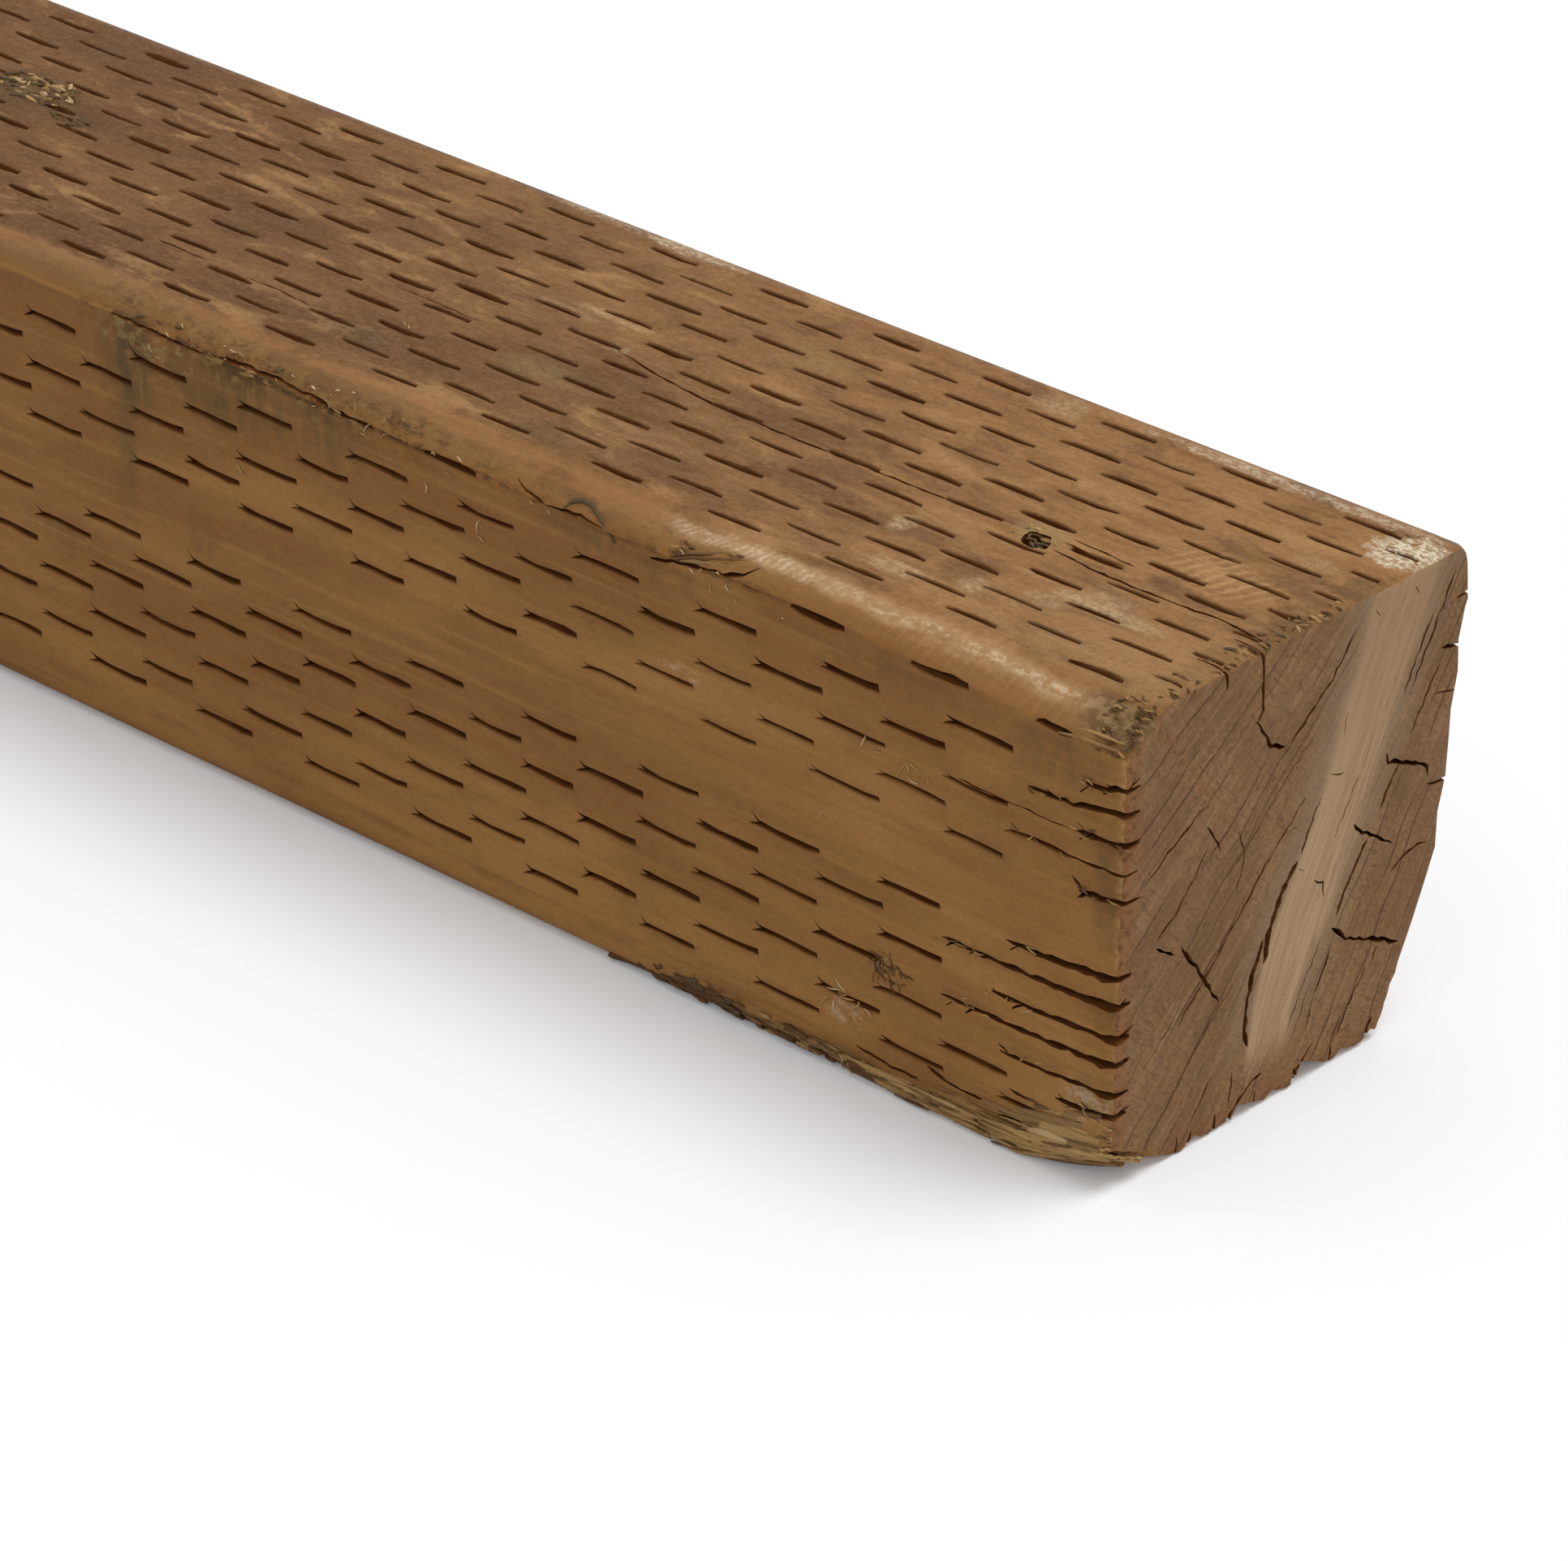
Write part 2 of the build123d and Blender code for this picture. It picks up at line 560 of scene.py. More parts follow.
# slits pressed in by the incising rollers: rows across each face, every other row half a pitch on
slitPress = {
    "seed": 4407,
    "closeRun": 388.0,  # slits nearer the end than this are drawn finer
    "shyOfEnd": 2.4,
    "shortest": 2.5,
    "weakest": 0.25,
    "past": 4.0,  # how far a slit's middle may lie past either end
    "faintRows": (9, 10, 11),  # of the near face
    "faintRun": 125.0,
    "faint": 0.45,
    "lipHalfWidth": 0.68,
}
slitRows = {
    "top": {
        "first": 11.04, "gap": 5.014, "pitch": 26.76, "start": 2.35, "drift": 0.0, "long": 12.4, "wide": 1.3,
        "weights": (1, 0.55, 0.8, 1, 0.9, 0.7, 1, 1, 1, 0.55, 0.9, 1, 0.85, 0.55, 1),
    },
    "near": {
        "first": 9.11, "gap": 5.062, "pitch": 27.79, "start": 4.0, "drift": 0.0127, "long": 13.6,
        "wide": 1.15,
        "weights": (1, 1, 1, 1, 1, 1, 1, 0, 0, 0.9, 1, 1, 1, 1),
    },
    "far": {
        "first": 8.5, "gap": 5.03, "pitch": 27.2, "start": 9.0, "drift": 0.004, "long": 12.6, "wide": 1.2,
        "weights": (1, 0.8, 1, 0.9, 1, 0.6, 1, 1, 0.9, 1, 0.7, 1, 1, 0.8, 1),
    },
    "under": {
        "first": 8.0, "gap": 5.03, "pitch": 27.2, "start": 20.0, "drift": -0.003, "long": 12.6, "wide": 1.2,
        "weights": (1, 1, 0.7, 1, 0.9, 1, 0.8, 1, 1, 0.6, 1, 0.9, 1, 1),
    },
}
slitOutlines = {  # along -1..1 towards the weathered end, across -1..1
    "forked": (
        (-1.12, 2.3), (-0.86, 0.85), (-0.3, 0.7), (0.5, 0.9), (0.98, 1.05), (1.03, -0.5), (0.55, -1),
        (-0.3, -0.75), (-0.82, -0.8), (-1.2, -1.3), (-0.9, 0.15),
    ),
    "blunt": (
        (-1, 0.45), (-0.6, 0.9), (0.4, 1), (0.97, 0.75), (1.02, -0.5), (0.4, -1), (-0.6, -0.9), (-1.03, -0.5),
    ),
    "plain": ((-1, 0.55), (0.96, 0.95), (1, -0.8), (-0.95, -0.75)),
}
slitLevels = {  # height over the face, flare of the lip, and how much of the width and length is left there
    "fine": ((0.35, 0.42, 1.0, 1.0), (-0.3, 0.0, 1.0, 1.0), (-4.2, 0.0, 0.4, 0.9)),
    "plain": ((0.8, 0.0, 1.0, 1.0), (-3.6, 0.0, 0.4, 0.85)),
}
# slits in the lip of the wane: s, height, half length
lipSlits = ((67, 84.0, 6.0), (40.2, 83.0, 6.2), (15.8, 82.1, 3.8), (152.5, 83.6, 6.4))


def slitStrength(face, row, s, across, p):
    if face == "near":
        for height, inner, run, wide in endSplits:
            if abs(across - inner) < 3 and s - 7.5 < run and wide > openSplit:
                return 0.0  # runs into an open split
        if row in p["faintRows"] and s < p["faintRun"]:
            return p["faint"]
    if face == "far" and farFace(s, across, postForm) < side - 4:
        return 0.0  # the rollers miss the log's round
    return 1.0


def slitPart(face, kind, tube, s, across, halfLong, halfWide, dice):
    outline = slitOutlines[kind]
    levels = slitLevels["plain" if kind == "plain" else "fine"]
    address, polys = tube
    slope = dice.uniform(-0.012, 0.012) + (0.02 if face == "near" else 0.0)
    bow = dice.uniform(-0.4, 0.4)
    fork = dice.uniform(0.4, 1.25)
    verts = []
    for n, level in address:
        along, over = outline[n]
        height, lip, wideLeft, longLeft = levels[level]
        if kind == "forked" and abs(over) > 1.1:
            over *= fork
        u = s - along * halfLong * longLeft - math.copysign(lip * 0.5, along)
        v = across + over * halfWide * wideLeft * (1 + 0.7 * rough(n * 7.3, s, across))
        v += math.copysign(lip, over) + bow * (1 - along * along) - along * halfLong * slope
        verts.append(facePlace(face, u, v, height))
    slots = []
    for poly in polys:
        depths = {address[i][1] for i in poly}
        slots.append(faceSlot if len(levels) == 3 and depths == {0, 1} else wallSlot)
    return verts, polys, slots


def slitParts(p):
    dice = random.Random(p["seed"])
    tubes = {name: tubeAddress(len(o), 2 if name == "plain" else 3) for name, o in slitOutlines.items()}
    parts = []
    for face, rows in slitRows.items():
        for row, weight in enumerate(rows["weights"]):
            if weight == 0:
                continue
            phase = 0.5 * ((row + 1) % 2)
            for n in range(int(postLength / rows["pitch"]) + 2):
                s = rows["start"] + (n - phase) * rows["pitch"] + dice.uniform(-0.8, 0.8)
                across = rows["first"] + row * rows["gap"] + rows["drift"] * s + dice.uniform(-0.3, 0.3)
                strength = weight * slitStrength(face, row, s, across, p) * dice.uniform(0.7, 1.2)
                outside = s < -p["past"] or s > postLength + p["past"] or across > side - 3
                if outside or strength < p["weakest"]:
                    continue
                close = s < p["closeRun"] and face in ("top", "near")
                kind = ("forked" if face == "near" else "blunt") if close else "plain"
                halfLong = rows["long"] / 2 * dice.uniform(0.86, 1.08)
                short = max(0.0, halfLong + p["shyOfEnd"] - s) / 2 if close else 0.0
                s += short
                halfLong -= short
                if halfLong < p["shortest"]:
                    continue
                halfWide = rows["wide"] / 2 * (0.3 + 0.7 * strength)
                parts.append(slitPart(face, kind, tubes[kind], s, across, halfLong, halfWide, dice))
    for s, across, halfLong in lipSlits:
        parts.append(slitPart("near", "blunt", tubes["blunt"], s, across, halfLong, p["lipHalfWidth"], dice))
    return parts


# cracks as a width and a line of points: y and z on the end, s and the distance across on the long faces
crackLines = {
    "end": (
        (1.45, (35.6, 13.4), (34.6, 17), (34.8, 21.7), (35.9, 27.2), (38, 33)),
        (1.8, (38.6, 28.3), (39.1, 32.2), (40.5, 36.3), (42.3, 39.9), (44.5, 43), (46.2, 44.6)),
        (0.7, (46.9, 45.6), (49.5, 51.5), (51.6, 54.6)),
        (1.0, (34.1, 91), (34.6, 83), (34.8, 77.6), (33.4, 75.6)),
        (1.0, (33.1, 76), (35.6, 72.8), (37.5, 69.8), (41.1, 68.2)),
        (0.9, (42.7, 68.5), (48, 72.4), (52.7, 76.3), (55.6, 80), (58.4, 83.6)),
        (1.0, (24.9, 91), (25, 85)),
        (0.7, (6.4, 56.3), (13.6, 60.8), (20.9, 65.2)),
        (0.7, (10.4, 44.4), (15.5, 48.1), (19.4, 52.6), (22.7, 57.2)),
        (0.6, (22, 61), (24.4, 57.6), (25.6, 55)),
        (0.8, (10.2, 43.2), (12.6, 41.6), (15, 39.9)),
        (1.0, (16.6, 40.8), (20, 36.3), (23.6, 30.8), (27.3, 25.8)),
        (0.8, (16.8, 25.4), (24, 33), (31.4, 40.8), (39.5, 49)),
        (0.55, (40, 49.6), (44, 53), (47.6, 56.4)),
        (0.4, (18.2, 15.4), (24.5, 21.7), (31, 28)),
        (0.6, (21.8, 5.4), (26.4, 11.7)),
        (0.5, (51, 10), (52.6, 15)),
        (1.0, (52.8, 16.3), (55.4, 21), (56.2, 23.4)),
        (1.1, (57.6, 29.4), (61, 36), (64.8, 41.2)),
        (0.8, (67.7, 45.8), (70, 49.6), (72.4, 52.6)),
        (0.6, (75, 57.2), (78.4, 62.6), (81.8, 68)),
        (0.9, (74.5, 66.3), (79.4, 75.4), (84.5, 84.5)),
        (0.6, (72.4, 66), (76.6, 74), (79, 78.6)),
        (1.2, (68.7, 56), (69.5, 54), (75.5, 51.7), (80, 49), (80.5, 47.2)),
        (1.1, (80.4, 45.5), (83.3, 44.6), (86.6, 44.3)),
        (0.9, (60.9, 45.6), (63.4, 43.2), (65.5, 41.7), (71.8, 37.6)),
        (1.3, (56.4, 27.6), (60.5, 24), (65.5, 21.7), (70.4, 19.4), (75.4, 17)),
        (0.8, (67.3, 15.4), (69.2, 18.8)),
        (0.8, (71.8, 32.2), (75.5, 33.6), (79, 34.5), (81.4, 34)),
        (1.0, (81.9, 70.8), (85.8, 70), (90, 68.6)),
        (0.5, (80.4, 62.5), (89.5, 60.8)),
        (0.7, (46.6, 43), (48, 42)),
        (0.8, (51, 39), (53.4, 37.6), (54, 34.6)),
        (0.4, (54, 58), (57.6, 56.8)),
        (0.3, (57.6, 68.2), (56.6, 63.6)),
        (0.3, (56, 45), (59, 50.4), (61.6, 55)),
        (0.5, (31.7, 10.4), (31.2, 4)),
        (0.35, (28, 49), (38, 58), (49, 68)),
        (0.35, (8.6, 21.2), (14.6, 26.4), (17.4, 30)),
        (0.35, (30, 57), (32, 52), (30.6, 45)),
        (0.4, (46, 12), (50, 20), (54, 27)),
        (0.35, (47.5, 10), (51.6, 18.6)),
        (0.5, (60, 5), (63, 11), (66.5, 16)),
        (1.0, (20.6, -1), (21.6, 3.6)),
        (1.1, (31.6, -1), (32.2, 2), (36, 5.6), (40, 6.4)),
        (1.0, (48.6, -1), (49, 3), (53, 6.8)),
        (1.0, (67.6, -1), (68.2, 3), (69, 5)),
        (0.6, (57.4, 3), (60.4, 8.6)),
        (0.8, (63.6, 84.6), (64.6, 83.4)),
        (0.8, (73.6, 85.4), (74.6, 83.8)),
    ),
    "top": (
        (0.7, (156, 45.6), (144, 43), (131.6, 41.4), (114, 40.6), (97.5, 40.7), (78, 40.6), (60, 41.3)),
        (0.7, (49.5, 41.9), (42, 41.4), (35.5, 41)),
        (0.6, (49.5, 43.9), (42, 43.4), (35, 43)),
        (0.8, (49.2, 38.7), (42, 37.8), (36, 37.3), (21, 37.3), (13, 38), (2.5, 36.7)),
        (0.4, (204, 38), (196, 38.2), (182, 37.6)),
        (0.45, (250, 23.2), (243, 23), (237, 22.8)),
        (0.45, (226, 22.6), (218, 22.8), (209, 22)),
    ),
    "near": (
        (0.35, (36, 65.6), (24, 65.3), (12, 65.2)),
        (0.9, (42, 9), (36, 7.3), (29.5, 7)),
        (1.0, (27, 5.2), (18.5, 7.2), (11.4, 7.6)),
        (0.7, (24, 12), (15, 11.4), (8, 11.8)),
        (0.8, (58, 6.5), (50, 5.4), (44, 5.6)),
        (
            1.0, (105, 82), (101.5, 82.6), (97, 83.6), (93.7, 83.9), (90, 84.2), (87, 84.6), (84.6, 85.4),
            (82.6, 86.6),
        ),
        (0.6, (238, 85.2), (226, 84.8), (214, 84.6)),
        (
            1.0, (212, 84.8), (205, 85), (199.8, 85.1), (191, 85), (186, 84.9), (182, 84.6), (176, 84.3),
            (171, 84),
        ),
        (0.6, (137.5, 85.4), (133, 84.2), (129.6, 83.3), (124.6, 84), (120, 83.9), (116, 83.5)),
    ),
}
crackForm = {  # the width is a share of the line's own
    "end": {"depth": -6.0, "wander": 0.27, "step": 1.35, "width": 0.78},
    "top": {"depth": -4.0, "wander": 0.16, "step": 1.7, "width": 0.85},
    "near": {"depth": -3.0, "wander": 0.2, "step": 1.7, "width": 1.0},
}
crackPlan = {
    "seed": 1153,
    "bigWidth": 1.4,  # cracks of the end that are wider than this go as deep as the next value
    "bigDepth": -14.0,
    "splitDepth": -4.0,
    "overEndWidth": 1.1,
    "frays": 2,
    "frayWidth": 0.7,
    "frayDepth": -2.0,
}


def crackPart(face, width, points, depth, dice, opened=False):
    form = crackForm[face]
    line = [Vector(p) for p in points]
    fine = []
    for a, b in zip(line, line[1:]):
        count = max(1, round((b - a).length / form["step"]))
        fine += [a.lerp(b, n / count) for n in range(count)]
    fine.append(line[-1])
    last = len(fine) - 1
    middles, halves = [], []
    for n, p in enumerate(fine):
        t = n / last
        run = (fine[min(n + 1, last)] - fine[max(n - 1, 0)]).normalized()
        over = Vector((-run.y, run.x))
        body = min(1.0, 7 * t + (1.0 if opened else 0.3), 7 * (1 - t) + 0.3)
        if opened:
            body *= 1.9 - min(1.0, 2.2 * t)
        wander = dice.uniform(-1, 1) * form["wander"] if 0 < n < last else 0.0
        middles.append(p + over * wander)
        uneven = dice.uniform(0.6 if opened else 0.5, 1.25)
        halves.append(over * (width * form["width"] / 2 * body * uneven))
    count = last + 1
    levels = ((0.7, 1.0), (depth, 0.3))  # height over the face, and how much of the width is left there
    address, polys = tubeAddress(2 * count, 2)
    verts = []
    for n, level in address:
        k, turn = (n, 1) if n < count else (2 * count - 1 - n, -1)
        height, left = levels[level]
        u, v = middles[k] + halves[k] * (turn * left)
        verts.append(facePlace(face, u, v, height))
    return verts, polys, [wallSlot] * len(polys)


def splitParts(height, inner, run, wide, p, dice):  # one split through the edge of the end
    mouth = (-2, height + dice.uniform(-0.2, 0.4))
    points = (mouth, (3, height), (run * 0.55, inner + 0.1), (run, inner))
    parts = [crackPart("near", wide, points, p["splitDepth"], dice, True)]
    if wide <= openSplit:
        return parts
    stop = (dice.uniform(2.6, 6.0), height + dice.uniform(-0.4, 2.4))  # it runs on a little way over the end
    points = ((-1, height), (1.4, height + 0.1), stop)
    parts.append(crackPart("end", p["overEndWidth"], points, p["splitDepth"], dice))
    for n in range(p["frays"]):  # the inner end frays into short side cracks
        start = Vector((run - dice.uniform(0.5, 8.0), inner + dice.uniform(-0.3, 0.3)))
        turn = dice.choice((-1, 1)) * dice.uniform(0.25, 0.8)
        stop = start + Vector((math.cos(turn), math.sin(turn))) * dice.uniform(1.4, 3.0)
        parts.append(crackPart("near", wide * p["frayWidth"], (start, stop), p["frayDepth"], dice))
    return parts


def crackParts(p):
    dice = random.Random(p["seed"])
    parts = []
    for face, lines in crackLines.items():
        for width, *points in lines:
            big = face == "end" and width > p["bigWidth"]
            depth = p["bigDepth"] if big else crackForm[face]["depth"]
            parts.append(crackPart(face, width, points, depth, dice))
    for split in endSplits:
        parts += splitParts(*split, p, dice)
    return parts


# knots: ragged hollows, as lumps of s, y and z with their half sizes
knotHollows = (
    (53.4, 39.4, 86.8, 3.1, 2.9, 5.2), (51.4, 38.4, 87.6, 1.4, 1.1, 2.6), (55.4, 40.8, 87.8, 1.2, 1.0, 2.2),
    (323.4, 53.2, 88.2, 1.9, 1.2, 2.2), (314.6, 57.4, 88.2, 2.4, 1.2, 2.2),
    (314.2, 53.4, 88.3, 1.7, 1.2, 2.0), (319.5, 58.6, 88.4, 2.0, 0.9, 1.7), (327, 56.4, 88.5, 2.0, 1.1, 1.6),
    (310.4, 55.6, 88.5, 1.7, 0.8, 1.5), (309.6, 51.4, 88.6, 2.2, 1.0, 1.3),
    (303.4, 48.8, 88.7, 4.6, 1.1, 1.0), (330.5, 54, 88.4, 1.8, 1.3, 1.7),
)


def hollowParts():
    parts = []
    for s, y, z, halfS, halfY, halfZ in knotHollows:
        bm = bmesh.new()
        bmesh.ops.create_icosphere(bm, subdivisions=2, radius=1)
        for vert in bm.verts:
            vert.co *= 1 + 0.35 * noise.noise(vert.co * 1.7 + Vector((s, y, 0)))
        bm.verts.index_update()
        verts = [place(s - v.co.x * halfS, y + v.co.y * halfY, z + v.co.z * halfZ) for v in bm.verts]
        polys = [tuple(v.index for v in f.verts) for f in bm.faces]
        bm.free()
        parts.append((verts, polys, [wallSlot] * len(polys)))
    return parts


def apartGroups(parts):  # sorts cutting shapes into groups whose members don't touch
    gap = 0.2 * mm
    groups = []
    for part in parts:
        cloud = np.array([tuple(v) for v in part[0]])
        low, high = cloud.min(axis=0) - gap, cloud.max(axis=0) + gap
        for group in groups:
            if not any(np.all(low < h) and np.all(high > l) for l, h in group["boxes"]):
                break
        else:
            group = {"boxes": [], "parts": []}
            groups.append(group)
        group["boxes"].append((low, high))
        group["parts"].append(part)
    return [group["parts"] for group in groups]


def dropSlivers(mesh):  # cutting can leave two faces back to back, or an edge of no length
    bm = bmesh.new()
    bm.from_mesh(mesh)
    met, doomed = {}, []
    for face in bm.faces:
        key = frozenset(v.index for v in face.verts)
        if key in met:
            doomed += [face, met[key]]
        met[key] = face
    bmesh.ops.delete(bm, geom=doomed, context="FACES")
    noLength = 2e-8
    bmesh.ops.dissolve_degenerate(bm, dist=noLength, edges=bm.edges)
    bm.to_mesh(mesh)
    bm.free()
    mesh.validate()


def cutAway(mesh, cutters):  # takes each cutting mesh out of the wood in turn
    body = newObject("post", mesh, woodMaterials)
    knives = []
    for n, cutter in enumerate(cutters):
        knife = newObject("knife_%d" % n, cutter, woodMaterials)
        knives.append(knife)
        cut = body.modifiers.new("cut_%d" % n, "BOOLEAN")
        cut.operation = "DIFFERENCE"
        cut.solver = "MANIFOLD"
        cut.object = knife
    bpy.context.view_layer.update()
    result = bpy.data.meshes.new_from_object(body.evaluated_get(bpy.context.evaluated_depsgraph_get()))
    body.modifiers.clear()
    dropSlivers(result)
    body.data = result
    for knife in knives:
        bpy.data.objects.remove(knife)
    return body


# long faces: brown preservative over sawn softwood
faceFinish = {
    "topDark": tint(93, 61, 32),
    "topGold": tint(155, 111, 65),
    "topRed": tint(116, 73, 39),
    "sideDark": tint(127, 86, 43),
    "sideMid": tint(156, 112, 61),
    "sideOlive": tint(139, 103, 53),
    "sideRed": tint(132, 85, 43),
    "line": tint(80, 51, 26),
    "waneOrange": tint(154, 108, 66),
    # pale of the wane: a painted highlight band along the crest, and lighter hairlines
    "wanePaleAndHighlight": tint(190, 151, 108),
    "waneTan": tint(140, 100, 58),
    "waneOlive": tint(116, 86, 48),
    # painted highlight: glints along the wane's crest
    "wanePaintedHighlight": tint(222, 202, 168),
    "wear": tint(180, 142, 94),
    "stain": tint(83, 66, 36),
    "bark": tint(60, 43, 24),
    "lichen": tint(146, 126, 80),
    "scuff": tint(194, 165, 127),
    "moss": tint(136, 111, 76),
    "mossDark": tint(88, 69, 44),
    "straw": tint(178, 142, 88),
    "edgeGrey": tint(150, 136, 120),
    "chalk": tint(214, 200, 174),
    "roughness": 0.68,
    "specular": 0.14,
}
facePatches = {  # s, distance across, half sizes, strength
    "topChalk": (
        (178, 85, 16, 2.2, 0.7), (196, 85.5, 24, 1.6, 0.6), (5, 78, 7, 7, 1.4), (34, 84, 36, 2.0, 0.7),
        (157, 46, 4, 1.6, 0.3),
    ),
    "topScuff": (
        (74, 29, 3, 4, 0.7), (28, 27.4, 12, 2.4, 0.8), (30, 30, 6, 4, 0.4), (64, 16, 7, 2.4, 0.5),
        (50, 20, 3, 3, 0.5), (38, 24, 5, 3, 0.4), (85, 81.5, 7, 4, 0.4), (176, 52, 10, 1.4, 0.3),
        (166, 55, 10, 1.6, 0.35), (14, 64, 5, 3, 0.3),
    ),
    "topOlive": ((54.4, 41.6, 6.0, 4.2, 1.0), (127, 66, 9, 6, 0.3), (160, 30, 12, 6, 0.35)),
    "topDark": (
        (55, 24, 5, 6, 0.6), (96, 29, 17, 4, 0.6), (110, 47, 24, 5, 0.45), (204, 18, 44, 7, 0.6),
        (2, 30, 6, 20, 0.4), (120, 16, 14, 6, 0.4), (300, 50, 10, 4, 0.6), (150, 34, 22, 5, 0.4),
        (240, 44, 26, 6, 0.45), (28, 41, 5, 4, 0.5), (262, 18, 32, 8, 0.6),
    ),
    "topGrey": (
        (142, 13, 9, 4, 0.4), (193, 20, 8, 4, 0.4), (318, 54, 12, 7, 0.5), (4, 44, 4, 9, 0.45),
        (3, 62, 4, 5, 0.5),
    ),
    "topSaw": ((22, 49, 13, 6, 1.0), (27, 54, 7, 4, 0.7)),
    "nearStain": (
        (234, 76, 9, 13, 1.2), (208, 79, 20, 8, 1.0), (185, 79, 15, 6, 0.8), (236, 60, 4, 18, 0.6),
        (42, 80, 22, 4, 0.5), (14, 78, 14, 6, 0.6), (4, 62, 5, 5, 0.8), (3, 52, 4, 7, 0.7),
        (216, 49, 5, 5, 0.8), (3, 33, 4, 5, 0.6), (5, 18, 6, 5, 0.7), (118, 81, 14, 3, 0.6),
        (104, 80, 20, 3, 0.5), (28, 55, 6, 2, 0.5), (254, 36, 16, 5, 0.4),
    ),
    "nearCrust": (
        (228, 82, 14, 4, 0.8), (204, 83, 14, 2.4, 0.6), (182, 83, 12, 2, 0.6), (51, 24, 3.4, 4.4, 1.0),
        (93, 3, 12, 3.4, 1.0),
    ),
    "nearChalk": ((60, 12, 6, 3, 0.35), (98, 63, 6, 2, 0.25), (7, 16, 7, 5, 0.3)),
}
# how much bark and how much warm colour the wane has, by s
waneBark = (
    (0, 0), (72, 0.1), (82, 0.6), (104, 0.6), (112, 0.3), (140, 0.5), (160, 0.9), (236, 0.9), (250, 0.2),
    (380, 0.1),
)
waneWarm = ((0, 0.3), (60, 0.45), (100, 0.6), (150, 1), (300, 1))


def slitPressShade(g, s, across, rows):  # soft mark round each slit: painted shade in the colour, and a slight pressed dip in the bump
    lane = (across - s * rows["drift"] - rows["first"]) / rows["gap"]
    row = lane.calc("ROUND")
    off = abs(lane - row) * rows["gap"]
    shift = (row + 1.0).calc("FLOORED_MODULO", 2.0) * 0.5
    turn = (s - rows["start"]) / rows["pitch"] + shift
    along = abs(turn - turn.calc("ROUND")) * rows["pitch"]
    return g.step(off, 1.5, 0.3) * g.step(along, 8.0, 5.0) * g.curve(row, tuple(enumerate(rows["weights"])))


def patches(g, u, v, rows, ragged):  # soft ragged spots, the strongest of them at each place
    total = 0.0
    for middleU, middleV, halfU, halfV, amount in rows:
        a = (u - middleU) * (1 / halfU)
        b = (v - middleV) * (1 / halfV)
        spot = g.step(a * a + b * b + ragged, 1.25, 0.1) * amount
        total = spot.most(total)
    return total


class WoodNoise:  # the noise fields that the long faces share
    def __init__(self, g, s, y, z):
        def field(lengthways, across, *character):
            return g.noise((s * lengthways, y * across, z * across), *character)

        self.grain = field(0.04, 1.5, 4.0, 0.65)
        self.streak = field(0.012, 0.4, 3.0, 0.55, 0.3)
        self.blotch = field(0.013, 0.045, 4.0, 0.6, 0.5)
        self.mottle = field(0.045, 0.13, 5.0, 0.68, 0.5)
        self.speck = field(0.35, 0.5, 3.0, 0.7)
        self.fine = field(0.8, 1.2, 3.0, 0.75)
        self.drip = g.noise((s * 0.22, 0.0, z * 0.05), 3.0, 0.6, 0.4)
        self.ragged = (self.speck - 0.5) * 2.0 + (self.mottle - 0.5) * 1.6
        self.flaky = g.step(self.speck + (self.mottle - 0.5) * 0.7, 0.43, 0.62)
        self.dust = g.step(self.fine + (self.speck - 0.5) * 0.7, 0.44, 0.58)


def topTint(g, look, n, s, y):
    def spots(name, uneven=1.0):
        return patches(g, s, y, facePatches[name], n.ragged * uneven)

    shown = g.step(s, 600, 300)  # the length that the photo shows is the most flecked
    golden = g.step(s, 330, 10) * 0.62 + (n.blotch - 0.5) * 1.1 + (y - 45) * 0.0025 + 0.24 - shown * 0.1
    saw = ((s + y * 0.5 + (n.mottle - 0.5) * 5.0) * 2.3).calc("SINE")
    flakes = g.step(n.mottle + (n.speck - 0.5) * 0.35, 0.46, 0.34) * (shown * 0.18 + 0.1)
    endWear = g.step(s, 70, 12) * g.step(y, 46, 10) * 0.3
    farEdge = g.step(y, side - 4.5, side - 1.5) * g.step(s, 400, 300)
    chalky = spots("topChalk", 2.0) * (n.dust * 0.6 + 0.2)
    return g.coats(
        look["topDark"],
        look,
        ("topGold", golden.clamp()),
        ("topRed", g.step(n.streak, 0.48, 0.7) * 0.4),
        ("topDark", g.step(n.mottle, 0.49, 0.64) * 0.6),
        ("topGold", g.step(n.mottle, 0.47, 0.32) * (shown * 0.35 + 0.2)),
        ("topDark", spots("topDark")),
        ("stain", spots("topGrey")),
        ("wear", spots("topSaw") * g.step(saw, -0.3, 0.9) * 0.6),
        ("wear", flakes.most(endWear)),
        ("lichen", spots("topOlive") * (n.flaky * 0.4 + 0.4)),
        ("scuff", spots("topScuff", 1.2) * (n.dust * 0.5 + 0.45)),
        ("edgeGrey", farEdge * (n.flaky * 0.35 + 0.25)),
        ("chalk", chalky.most(n.dust * 0.03)),
    )


